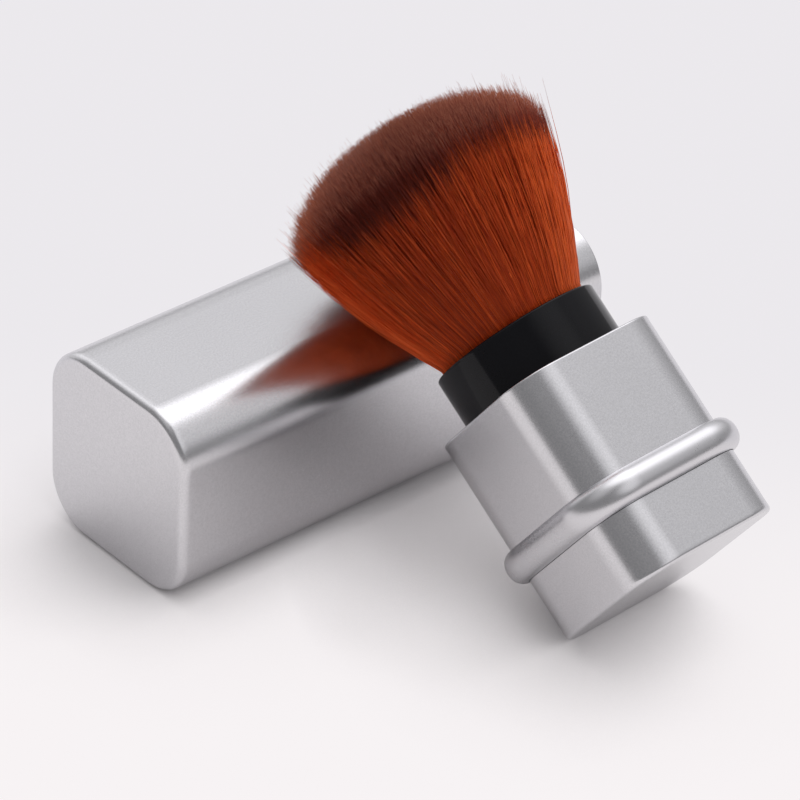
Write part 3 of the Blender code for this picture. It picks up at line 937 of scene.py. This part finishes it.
@dataclass
class Sleeve(SubAssembly):
    """What slides: the shell, its ring band, the guide, the rubber ring and its plate."""

    corner: float = 6.6 * MM
    wall: float = 0.5 * MM
    lip: float = 0.22 * MM
    foot_lip: float = 0.05 * MM
    glue: float = 0.1 * MM
    seam: float = 0.07 * MM
    ring_shoulder: float = 0.25 * MM
    ring_lip: float = 0.6 * MM
    ring_lip_reach: float = 1.3 * MM
    ring_steps: int = 28
    section_corners: int = 4
    bore_edge: float = 0.2 * MM
    slide_gap: float = 0.2 * MM
    collar_height: float = 4.6 * MM
    loft: Loft = field(default_factory=Loft)
    guide_loft: Loft = field(default_factory=lambda: Loft(corner_steps=16, flat_steps=12))

    def build(self) -> None:
        """Make the sleeve's pieces."""
        self.make_shell()
        self.make_ring_band()
        self.make_guide()
        self.keep(Slot.MATTE, "retaining_plate")
        self.keep(Slot.RUBBER, "slide_o_ring")

    def make_shell(self) -> None:
        """Square tube with broken edges at its mouth."""
        ends = self.axes.span("sleeve_shell")
        half = self.axes.half("sleeve_shell")
        rings = tube_rings(half, self.corner, ends, self.wall, (self.foot_lip, self.lip))
        self.finish(self.loft.mesh("sleeve_drawn_shell", rings, closed=True), Slot.SATIN, "sleeve_shell")

    def band_tree(self) -> bpy.types.GeometryNodeTree:
        """A half-round section with a lip at its foot, carried round a rounded square.

        The section's points are those of the round, from its foot to its top, and then four corners: its
        top inside, the root of the lip, and the lip's inner edge, above and below.

        Returns:
            The tree.
        """
        sizes = ("Side", "Corner", "Height", "Shoulder", "Crown", "Glue", "Lip", "Lip Reach", "Middle")
        kinds = {name: "NodeSocketFloat" for name in sizes}
        inputs = TreeInputs("half_round_band", kinds | {"Material": "NodeSocketMaterial"})
        graph = inputs.graph
        line = graph.read("GeometryNodeCurvePrimitiveLine")
        values = {"Curve": line, "Count": self.ring_steps + 1 + self.section_corners}
        section = graph.read("GeometryNodeResampleCurve", values=values)
        index = graph.read("GeometryNodeInputIndex")
        corner = index - self.ring_steps
        top, root, inner, foot = (corner.equals(count + 1) for count in range(self.section_corners))
        on_round = 1 - top - root - inner - foot
        angle = (index / self.ring_steps - 0.5) * math.pi
        half = inputs["Height"] / 2
        round_out = inputs["Shoulder"] + inputs["Crown"] * angle.math("COSINE")
        round_up = half * angle.math("SINE")
        out = on_round * round_out + inputs["Glue"] * (top + root) - inputs["Lip Reach"] * (inner + foot)
        up = on_round * round_up + half * (top - root - inner - foot) + inputs["Lip"] * (root + inner)
        values = {"Geometry": section, "Position": graph.vector(out, up, 0.0)}
        section = graph.read("GeometryNodeSetPosition", values=values)
        section = graph.read("GeometryNodeSetSplineCyclic", values={"Geometry": section, "Cyclic": True})
        square = {"Width": inputs["Side"], "Height": inputs["Side"]}
        path = graph.read("GeometryNodeCurvePrimitiveQuadrilateral", values=square)
        values = {"Curve": path, "Radius": inputs["Corner"], "Count": self.loft.corner_steps}
        path = graph.read("GeometryNodeFilletCurve", {"mode": "POLY"}, values)
        values = {"Curve": path, "Profile Curve": section}
        band = graph.read("GeometryNodeCurveToMesh", values=values)
        values = {"Geometry": band, "Translation": graph.vector(0.0, 0.0, inputs["Middle"])}
        return inputs.end(graph.read("GeometryNodeTransform", values=values), inputs["Material"])

    def make_ring_band(self) -> None:
        """Half-round band with a lip under the sleeve's foot."""
        foot, top = self.axes.span("ring_band")
        foot -= self.seam
        half = self.axes.half("sleeve_shell")
        inputs = {
            "Side": 2 * half,
            "Corner": self.corner,
            "Height": top - foot,
            "Shoulder": self.ring_shoulder,
            "Crown": self.axes.half("ring_band") - half - self.ring_shoulder,
            "Glue": self.glue,
            "Lip": self.ring_lip,
            "Lip Reach": self.ring_lip_reach,
            "Middle": (foot + top) / 2,
            "Material": self.looks[Slot.POLISHED],
        }
        self.finish(evaluated(self.band_tree(), "half_round_band", inputs), Slot.POLISHED, "ring_band")

    def make_guide(self) -> None:
        """Guide, square outside and round inside, with a collar round the carrier at its foot."""
        foot, top = self.axes.span("guide_sleeve")
        half = self.axes.half("guide_sleeve")
        corner = self.corner - self.wall - self.glue
        bore = self.axes.half("ferrule") + self.slide_gap
        collar = self.axes.bore("guide_sleeve")
        collar_top = foot + self.collar_height
        edge = self.bore_edge
        rings = [
            Ring(half, corner, foot),
            Ring(half, corner, top - edge),
            Ring(half - edge, corner - edge, top),
        ]
        inside = (
            (bore + edge, top),
            (bore, top - edge),
            (bore, collar_top),
            (collar, collar_top),
            (collar, foot),
        )
        rings += [Ring(out, out * corner / half, height, Plan.ROUND) for out, height in inside]
        self.finish(self.guide_loft.mesh("bored_guide", rings, closed=True), Slot.MATTE, "guide_sleeve")


# Core


@dataclass
class Core(SubAssembly):
    """What the sleeve slides on: the base, the carrier and the ferrule."""

    corner: float = 6.6 * MM
    wall: float = 0.5 * MM
    foot_edge: float = 0.6 * MM
    lip: float = 0.04 * MM
    ferrule_wall: float = 1.2 * MM
    ferrule_edge: float = 0.28 * MM
    cup_depth: float = 5.0 * MM
    cup_floor: float = 1.2 * MM
    glue: float = 0.1 * MM
    loft: Loft = field(default_factory=Loft)

    def build(self) -> None:
        """Make the core's pieces."""
        self.make_base_shell()
        self.make_ferrule()
        self.keep(Slot.MATTE, "base_insert", "carrier")
        self.keep(Slot.STEEL, "base_weight", "base_screw")
        self.keep(Slot.GLUE, "knot_plug")

    def make_base_shell(self) -> None:
        """Cup at the foot, flush with the sleeve."""
        foot, mouth = self.axes.span("base_shell")
        half = self.axes.half("base_shell")
        rings = cup_rings(half, self.corner, foot, mouth, self.wall, self.foot_edge, self.lip)
        self.finish(self.loft.mesh("base_drawn_shell", rings), Slot.SATIN, "base_shell")

    def make_ferrule(self) -> None:
        """Round cup with rolled edges, and a skirt that snaps over the carrier."""
        foot, top = self.axes.span("ferrule")
        radius = self.axes.half("ferrule")
        inner = radius - self.ferrule_wall
        socket = self.axes.half("carrier") - self.glue
        floor = top - self.cup_depth
        edge = self.ferrule_edge
        corners = (
            (0.0, floor, 0.0),
            (inner, floor, edge),
            (inner, top, edge),
            (radius, top, edge),
            (radius, foot, edge),
            (socket, foot, 0.0),
            (socket, floor - self.cup_floor, 0.0),
            (0.0, floor - self.cup_floor, 0.0),
        )
        rings = [Ring(out, out, height) for out, height in rounded(corners)[1:-1]]
        self.finish(Turning().mesh("ferrule_cup", rings), Slot.GLOSS, "ferrule")


# Hair


@dataclass(frozen=True)
class Strand:
    """What the hair's tree knows of each point of each strand.

    The strand's number, the share of its length from root to tip, how far out it stands and at what
    angle, its place on a disc of radius 1, the middle of its clump there and the way to it, and what is
    chance: the clump's tone and the strand's swing and sway.
    """

    number: Wire
    along: Wire
    place: Wire
    angle: Wire
    u: Wire
    v: Wire
    middle_u: Wire
    middle_v: Wire
    to_middle: Wire
    clump: Wire
    swing: Wire
    sway: Wire


@dataclass
class Tuft(SubAssembly):
    """The flared dome of hair, made strand by strand in sectors round the brush's axis."""

    cap: Axes
    height: float = 34.8 * MM
    shoulder: float = 24.3 * MM
    shoulder_radius: float = 19.3 * MM
    root_radius: float = 10.7 * MM
    dome_radius: float = 19.9 * MM
    bulge: float = 1.46
    root_depth: float = 2.4 * MM
    cap_corner: float = 7.8 * MM
    clearance: float = 0.9 * MM
    sectors: int = 9
    strands: int = 3900
    segments: int = 8
    strand_radius: float = 0.06 * MM
    strand_sides: int = 3
    strand_taper: float = 0.8
    taper_start: float = 0.6
    draw_room: int = 16
    tip_rounds: int = 5
    clumps: float = 22.0
    clump_size: float = 0.18
    clump_pull: float = 0.14
    clump_length: float = 0.7
    clump_tint: float = 0.5
    jitter: float = 0.12
    wave: float = 0.008
    waves: float = 1.3
    wave_start: float = 0.3
    length_spread: float = 0.9 * MM
    length_share: float = 1.5
    length_cut: float = 1.1
    stray_share: float = 0.014
    stray_reach: float = 0.16
    fullness: float = 1.01
    trim: float = 0.9 * MM
    tint_least: float = 0.26
    tint_spread: float = 0.6
    # Painted shade: strands darker towards the gaps between clumps.
    gap_shade: float = 0.5
    gap_start: float = 0.25
    gap_end: float = 0.5714
    outer_start: float = 0.35
    # Painted rim light: strands lighter at the tuft's left and right edges, and a shorter dark band on the
    # lit left edge.
    light_side: float = math.radians(146)
    light_start: float = 0.6
    light_end: float = 0.95
    light_gain: float = 0.5
    light_clear: float = 0.9
    # Painted shade: the dark band reaches farther on the side away from the light.
    dark_side: float = math.radians(211)
    dark_start: float = 0.66
    dark_reach: float = 2.4 * MM
    dark_spread: float = 2.2 * MM
    patch_size: float = 0.35
    gathered: float = 0.86

    def build(self) -> None:
        """Make the sectors."""
        tree = self.tree()
        width = 2 * math.pi / self.sectors
        for sector in range(self.sectors):
            name = f"hair_sector_{sector + 1}"
            inputs = {
                **self.sizes(),
                "Count": self.strands,
                "Seed": sector + 1,
                "First": sector * width,
                "Width": width,
                "Material": self.looks[Slot.HAIR],
            }
            mesh = evaluated(tree, name, inputs)
            piece = self.finish(mesh, Slot.HAIR, "bristle_tuft", sharp=math.pi)
            middle = (sector + 0.5) * width
            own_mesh(piece)

    def sizes(self) -> dict[str, float]:
        """Gather the sizes that the tree takes, with those of the cap's edge in the brush's axes.

        Returns:
            The sizes by the names of the tree's inputs.
        """
        side = self.cap.half("cap_shell")
        edge = Vector((0.0, self.cap_corner - side, side - self.cap_corner + self.cap.origin.z))
        back = self.axes.matrix.inverted()
        here = back @ Vector((self.axes.origin.x, edge.y, edge.z))
        along = back.to_3x3() @ Vector((1.0, 0.0, 0.0))
        return {
            "Rim": self.axes.span("ferrule")[1],
            "Height": self.height,
            "Shoulder": self.shoulder,
            "Shoulder Radius": self.shoulder_radius,
            "Root Radius": self.root_radius,
            "Dome Radius": self.dome_radius,
            "Bulge": self.bulge,
            "Root Depth": self.root_depth,
            "Strand Radius": self.strand_radius,
            "Length Spread": self.length_spread,
            "Edge Y": here.y,
            "Edge Y Slope": along.y,
            "Edge Z": here.z,
            "Edge Z Slope": along.z,
            "Edge Reach": self.cap_corner + self.clearance,
        }

    def spread(self, inputs: TreeInputs, rise: Wire) -> Wire:
        """Find how wide the free tuft is.

        Args:
            inputs: The tree's inputs.
            rise: Height above the ferrule's rim.

        Returns:
            The radius there.
        """
        share = rise.math("MAXIMUM", 0.0) / inputs["Shoulder"]
        bulge = inputs["Bulge"]
        share = bulge * share - (bulge - 1) * share * share
        return inputs["Root Radius"] + (inputs["Shoulder Radius"] - inputs["Root Radius"]) * share

    def tip(self, inputs: TreeInputs, place: Wire) -> Wire:
        """Find where a hair ends under the dome.

        Args:
            inputs: The tree's inputs.
            place: How far out the hair stands, from 0 to 1.

        Returns:
            Height of its tip above the rim.
        """
        dome = inputs["Height"] - inputs["Shoulder"]
        rise = inputs["Height"]
        for _ in range(self.tip_rounds):
            reach = (place * self.spread(inputs, rise) / inputs["Dome Radius"]).math("MINIMUM", 1.0)
            rise = inputs["Shoulder"] + dome * (1 - reach * reach).math("SQRT")
        return rise

    def pressed(self, inputs: TreeInputs, x: Wire, y: Wire, z: Wire, wide: Wire) -> Wire:
        """Draw in the side of the tuft that rests on the cap's rounded edge.

        Args:
            inputs: The tree's inputs.
            x: Place across the brush, along the cap.
            y: Place on the brush's down side.
            z: Height along the brush.
            wide: Radius of the free tuft at that height.

        Returns:
            The place on the down side, clear of the cap.
        """
        free = (wide * wide - x * x).math("MAXIMUM", y * y).math("SQRT")
        edge_y = inputs["Edge Y"] + inputs["Edge Y Slope"] * x
        along = z - inputs["Edge Z"] - inputs["Edge Z Slope"] * x
        reach = inputs["Edge Reach"]
        depth = (reach * reach - along * along).math("MAXIMUM", 0.0).math("SQRT")
        limit = edge_y - depth
        inside = along.math("ABSOLUTE").math("LESS_THAN", reach)
        below = y.math("GREATER_THAN", 0.0)
        share = (limit / free).math("MINIMUM", 1.0)
        return y * (1 - inside * below * (1 - share))

    def random(self, inputs: TreeInputs, number: Wire, draw: Draw) -> Wire:
        """Draw a number from 0 to 1 for each strand."""
        values = {"ID": number, "Seed": inputs["Seed"] * self.draw_room + draw.value}
        return inputs.graph.read("FunctionNodeRandomValue", {"data_type": "FLOAT"}, values)

    def strand(self, inputs: TreeInputs) -> Strand:
        """Spread the strands evenly over the sector and find the clump of each.

        Args:
            inputs: The tree's inputs.

        Returns:
            What the tree knows of each point of each strand.
        """
        graph = inputs.graph
        number = graph.read("GeometryNodeCurveOfPoint", output="Curve Index")
        along = graph.read("GeometryNodeCurveOfPoint", output="Index in Curve") / self.segments
        place = ((number + self.random(inputs, number, Draw.PLACE)) / inputs["Count"]).math("SQRT")
        turn = (number * GOLDEN_SHARE + inputs["Seed"] * GOLDEN_SHARE).math("FRACT")
        angle = inputs["First"] + inputs["Width"] * turn
        u = place * angle.math("COSINE")
        v = place * angle.math("SINE")
        settings = {"voronoi_dimensions": "2D", "feature": "F1"}
        values = {"Vector": graph.vector(u, v, 0.0), "Scale": self.clumps}
        cells = graph.add("ShaderNodeTexVoronoi", settings, values)
        values = {"Vector": Wire(graph, cells.outputs["Position"])}
        middle = graph.add("ShaderNodeSeparateXYZ", values=values)
        middle_u = Wire(graph, middle.outputs["X"])
        middle_v = Wire(graph, middle.outputs["Y"])
        return Strand(
            number=number,
            along=along,
            place=place,
            angle=angle,
            u=u,
            v=v,
            middle_u=middle_u,
            middle_v=middle_v,
            to_middle=Wire(graph, cells.outputs["Distance"]),
            clump=graph.noise(graph.vector(middle_u, middle_v, 0.0), self.clump_size) - 0.5,
            swing=self.random(inputs, number, Draw.SWING) - 0.5,
            sway=self.random(inputs, number, Draw.SWAY) - 0.5,
        )

    def course(self, inputs: TreeInputs, strand: Strand) -> tuple[Wire, Wire]:
        """Bend each strand by the laws of the tuft.

        Args:
            inputs: The tree's inputs.
            strand: What is known of each point.

        Returns:
            The point in the brush's axes, and its distance from the strand's tip.
        """
        along, u, v = strand.along, strand.u, strand.v
        stray = self.random(inputs, strand.number, Draw.STRAY).math("LESS_THAN", self.stray_share)
        spare = self.random(inputs, strand.number, Draw.LENGTH) - 0.5
        phase = (along * self.waves + self.random(inputs, strand.number, Draw.PHASE)) * (2 * math.pi)
        curl = along * along
        pull = self.clump_pull * curl
        push = self.jitter * curl
        wave = self.wave * along.smooth(0.0, self.wave_start)
        reach = self.random(inputs, strand.number, Draw.REACH) * self.stray_reach
        loose = self.fullness + stray * reach * along
        bend_u = u + (strand.middle_u - u) * pull + strand.swing * push + wave * phase.math("SINE")
        bend_v = v + (strand.middle_v - v) * pull + strand.sway * push + wave * phase.math("COSINE")

        uneven = spare * self.length_share + strand.clump * self.clump_length - self.length_cut + stray
        tip = self.tip(inputs, strand.place) + inputs["Length Spread"] * uneven
        tip = tip - u.math("MAXIMUM", 0.0) * u * self.trim
        rise = along * (tip + inputs["Root Depth"]) - inputs["Root Depth"]
        wide = self.spread(inputs, rise)
        x = bend_u * wide * loose
        z = inputs["Rim"] + rise
        y = self.pressed(inputs, x, bend_v * wide * loose, z, wide)
        return inputs.graph.vector(x, y, z), tip - rise

    def dyes(self, inputs: TreeInputs, strand: Strand) -> dict[str, Wire]:
        """Choose each strand's tone and where its dark band starts, with painted light and shade in both.

        Args:
            inputs: The tree's inputs.
            strand: What is known of each point.

        Returns:
            The values that the hair's finish reads, by name.
        """
        own = self.tint_least + self.random(inputs, strand.number, Draw.TINT) * self.tint_spread
        tint = (own + strand.clump * self.clump_tint).limited(0.0, 1.0)
        # Painted shade: strands darker towards the gaps between clumps.
        tint = tint * (1 - self.gap_shade * strand.to_middle.smooth(self.gap_start, self.gap_end))
        # Painted rim light: strands lighter at the tuft's left and right edges.
        outer = strand.place.smooth(self.outer_start, 1.0)
        lit = (strand.angle - self.light_side).math("COSINE")
        edges = lit.math("ABSOLUTE").smooth(self.light_start, 1.0) * outer
        tint = (tint + edges * self.light_gain).limited(0.0, 1.0)
        # Painted shade: the dark band reaches farther on the side away from the light. Painted light: it
        # reaches less far on the lit left edge. The patch and the spread are chance.
        dark = (strand.angle - self.dark_side).math("COSINE").smooth(self.dark_start, 1.0)
        clear = lit.smooth(self.light_start, self.light_end) * outer * self.light_clear
        patch = inputs.graph.noise(inputs.graph.vector(strand.u, strand.v, 0.0), self.patch_size) - 0.5
        spread = self.dark_spread * (strand.swing + strand.sway)
        return {"tint": tint, "band_shift": self.dark_reach * (dark - clear + patch) + spread}

    def tree(self) -> bpy.types.GeometryNodeTree:
        """Strands: lines on points, bent by the laws of the tuft, then given their thickness.

        Returns:
            The tree.
        """
        kinds = {name: "NodeSocketFloat" for name in [*self.sizes(), "First", "Width"]}
        kinds |= {"Count": "NodeSocketInt", "Seed": "NodeSocketInt", "Material": "NodeSocketMaterial"}
        inputs = TreeInputs("strands", kinds)
        graph = inputs.graph
        line = graph.read("GeometryNodeCurvePrimitiveLine", values={"End": (0.0, 0.0, 1.0)})
        values = {"Curve": line, "Count": self.segments + 1}
        line = graph.read("GeometryNodeResampleCurve", values=values)
        points = graph.read("GeometryNodePoints", values={"Count": inputs["Count"]})
        values = {"Points": points, "Instance": line}
        lines = graph.read("GeometryNodeInstanceOnPoints", values=values)
        lines = graph.read("GeometryNodeRealizeInstances", values={"Geometry": lines})

        strand = self.strand(inputs)
        point, to_tip = self.course(inputs, strand)
        taper = 1 - self.strand_taper * strand.along.smooth(self.taper_start, 1.0)
        stored = {"to_tip": to_tip, "taper": taper, **self.dyes(inputs, strand)}
        for name, wire in stored.items():
            lines = graph.store(lines, "FLOAT", name, wire)
        spot = graph.vector(strand.u, strand.v, strand.along)
        lines = graph.store(lines, "FLOAT_VECTOR", "spot", spot)
        lines = graph.read("GeometryNodeSetPosition", values={"Geometry": lines, "Position": point})
        values = {"Resolution": self.strand_sides, "Radius": inputs["Strand Radius"]}
        section = graph.read("GeometryNodeCurvePrimitiveCircle", {"mode": "RADIUS"}, values)
        kept = graph.read("GeometryNodeInputNamedAttribute", {"data_type": "FLOAT"}, {"Name": "taper"})
        values = {"Curve": lines, "Profile Curve": section, "Scale": kept, "Fill Caps": True}
        strands = graph.read("GeometryNodeCurveToMesh", values=values)
        return inputs.end(strands, inputs["Material"])


# Studio


@dataclass(frozen=True)
class Panel:
    """A soft disc of light in the sky, by the direction it comes from."""

    name: str
    azimuth: float
    elevation: float
    half_angle: float
    blur: float
    level: float

    @property
    def direction(self) -> Vector:
        """Point towards the panel.

        Returns:
            The direction, of length 1.
        """
        azimuth = math.radians(self.azimuth)
        elevation = math.radians(self.elevation)
        flat = math.cos(elevation)
        return Vector((flat * math.cos(azimuth), flat * math.sin(azimuth), math.sin(elevation)))


@dataclass
class Studio:
    """Pale floor, soft light all round, and the camera of the photograph."""

    floor_color: Color = (0.8, 0.775, 0.778)
    backdrop_color: Color = (0.84, 0.82, 0.85)
    # Painted light falloff: the floor's pale glow is paler towards the front.
    near_color: Color = (0.94, 0.905, 0.915)
    near_side: tuple[float, float, float] = (-0.667, -0.745, 0.0)
    near_start: float = -35 * MM
    near_end: float = 50 * MM
    floor_side: float = 4.0
    floor_roughness: float = 0.9
    floor_specular: float = 0.1
    floor_glow: float = 0.97
    # Painted shadow: the floor's pale glow fades near things, by ambient occlusion tilted towards the light.
    light_side: tuple[float, float, float] = (0.55, -0.1, 0.8)
    mirror_reach: float = 60 * MM
    mirror_low: float = 0.36
    shade_reach: float = 30 * MM
    shade_low: float = 0.24
    shade_high: float = 0.86
    shade_samples: int = 4
    floor_cloud: float = 0.4
    floor_shade: float = 0.985
    floor_drop: float = 0.02 * MM
    light_color: Color = (0.99, 0.98, 1.0)
    fill: float = 0.27
    panels: tuple[Panel, ...] = (
        Panel("overhead box", 50, 76, 24, 20, 0.5),
        Panel("overhead sheet", 19, 69, 16, 60, 0.32),
        Panel("right window", 20, 58, 22, 15, 0.45),
        Panel("wide right wall", 46, 52, 44, 30, 0.42),
        Panel("low right card", -4, 22, 29, 8, 0.1),
        Panel("front umbrella", -72, 42, 6, 58, 0.62),
        Panel("left card", 168, 60, 12, 44, 0.3),
        Panel("back card", 92, 20, 20, 40, 0.5),
    )
    target: tuple[float, float, float] = (19.04 * MM, 5.76 * MM, 0.0)
    azimuth: float = -41.86
    elevation: float = 34.63
    roll: float = 2.42
    distance: float = 824.27 * MM
    lens: float = 253.39
    sensor: float = 36.0
    nearest: float = 0.01
    farthest: float = 100.0

    def build(self) -> None:
        """Set the floor, the light and the camera."""
        self.make_floor()
        self.make_light()
        self.make_camera()
        bpy.context.scene.view_settings.view_transform = "Standard"

    def make_floor(self) -> None:
        """Matte sheet just under what stands on it, paler to the eye and in reflections where nothing is
        near: near things the pale glow fades, a painted shadow over the floor's real one, and it is paler
        towards the front as painted light falloff.
        """
        half = self.floor_side / 2
        corners = [(-half, -half), (half, -half), (half, half), (-half, half)]
        mesh = bpy.data.meshes.new("floor")
        mesh.from_pydata([(x, y, -self.floor_drop) for x, y in corners], [], [(0, 1, 2, 3)])
        floor = bpy.data.objects.new("floor", mesh)
        bpy.context.scene.collection.objects.link(floor)
        material = bpy.data.materials.new("pale_sheet")
        material.use_nodes = True
        graph = Graph(material.node_tree)
        shader = material.node_tree.nodes["Principled BSDF"]
        shader.inputs["Roughness"].default_value = self.floor_roughness
        shader.inputs["Specular IOR Level"].default_value = self.floor_specular
        place = graph.read("ShaderNodeTexCoord", output="Object")
        cloud = graph.noise(place, self.floor_cloud)
        shade = [channel * self.floor_shade for channel in self.floor_color]
        graph.feed(shader, "Base Color", graph.mix(cloud, shade, self.floor_color))
        # Painted light falloff: the pale glow is paler towards the front.
        painted_falloff = place.dot(self.near_side).smooth(self.near_start, self.near_end)
        color = graph.mix(painted_falloff, self.backdrop_color, self.near_color)
        pale = graph.read("ShaderNodeEmission", values={"Color": color})
        path = graph.add("ShaderNodeLightPath")
        rays = ("Is Camera Ray", "Is Glossy Ray", "Is Transmission Ray")
        camera, glossy, through = (Wire(graph, path.outputs[ray]) for ray in rays)
        # Painted shadow: the pale glow fades where ambient occlusion, tilted towards the light, finds things
        # near; in reflections it fades over a longer reach.
        clear = self.clearance(graph, self.shade_reach).smooth(self.shade_low, self.shade_high)
        open_floor = self.clearance(graph, self.mirror_reach).smooth(self.mirror_low, 1.0)
        mirrored = glossy.math("MAXIMUM", through) * open_floor
        glow = (camera * clear).math("MAXIMUM", mirrored) * self.floor_glow
        lit = Wire(graph, shader.outputs["BSDF"])
        values = {0: glow, 1: lit, 2: pale}
        mixed = graph.read("ShaderNodeMixShader", values=values)
        graph.feed(material.node_tree.nodes["Material Output"], "Surface", mixed)
        mesh.materials.append(material)

    def clearance(self, graph: Graph, reach: float) -> Wire:
        """How freely a point of the floor sees the side that the light comes from.

        Args:
            graph: The floor material's graph.
            reach: How far away a thing still shades the point.

        Returns:
            1 where nothing is near, 0 where the point is covered.
        """
        values = {"Distance": reach, "Normal": graph.vector(*self.light_side)}
        return graph.read("ShaderNodeAmbientOcclusion", {"samples": self.shade_samples}, values, "AO")

    def make_light(self) -> None:
        """Sky of soft panels, and a pale one for the camera."""
        world = bpy.data.worlds.new("studio")
        world.use_nodes = True
        bpy.context.scene.world = world
        graph = Graph(world.node_tree)
        look = graph.read("ShaderNodeTexCoord", output="Generated")
        level: Number = self.fill
        for panel in self.panels:
            LOG.info("light: %s", panel.name)
            outer = math.cos(math.radians(panel.half_angle + panel.blur / 2))
            inner = math.cos(math.radians(max(panel.half_angle - panel.blur / 2, 0)))
            level = level + look.dot(panel.direction).smooth(outer, inner) * panel.level
        values = {"Color": (*self.light_color, 1.0), "Strength": level}
        light = graph.read("ShaderNodeBackground", values=values)
        backdrop = graph.read("ShaderNodeBackground", values={"Color": (*self.backdrop_color, 1.0)})
        to_camera = graph.read("ShaderNodeLightPath", output="Is Camera Ray")
        mixed = graph.read("ShaderNodeMixShader", values={0: to_camera, 1: light, 2: backdrop})
        graph.feed(world.node_tree.nodes["World Output"], "Surface", mixed)

    def make_camera(self) -> None:
        """Camera at the photograph's place, angle and roll."""
        azimuth = math.radians(self.azimuth)
        elevation = math.radians(self.elevation)
        flat = math.cos(elevation)
        back = Vector((math.sin(azimuth) * flat, -math.cos(azimuth) * flat, math.sin(elevation)))
        level = Vector((math.cos(azimuth), math.sin(azimuth), 0.0))
        upright = back.cross(level)
        roll = math.radians(self.roll)
        right = level * math.cos(roll) + upright * math.sin(roll)
        up = back.cross(right)
        data = bpy.data.cameras.new("camera")
        data.lens = self.lens
        data.sensor_width = self.sensor
        data.clip_start = self.nearest
        data.clip_end = self.farthest
        camera = bpy.data.objects.new("camera", data)
        turn = Matrix((right, up, back)).transposed().to_4x4()
        camera.matrix_world = Matrix.Translation(Vector(self.target) + back * self.distance) @ turn
        bpy.context.scene.collection.objects.link(camera)
        bpy.context.scene.camera = camera


def face_axes(name: str) -> Axes:
    """Axes that stand on a mount's face, with Y on the side that faces down.

    Args:
        name: The mount's name.

    Returns:
        The axes.
    """
    mount = next(item for item in frame["record"]["mounts"] if item["name"] == name)
    z = -Vector(mount["axis"]).normalized()
    return Axes(Vector(mount["pos_m"]), z.cross(UP).normalized(), z)


def main() -> None:
    """Build the object and the studio."""
    logging.basicConfig(level=logging.INFO, format="%(name)s: %(message)s")
    looks = Palette().make()
    cap = face_axes("cap_end_face")
    brush = face_axes("base_foot_face")
    Cap(cap, looks, Body.CAP).build()
    Sleeve(brush, looks, Body.SLEEVE).build()
    Core(brush, looks, Body.CORE).build()
    Tuft(brush, looks, Body.CORE, cap).build()
    Studio().build()


if __name__ == "__main__":
    main()
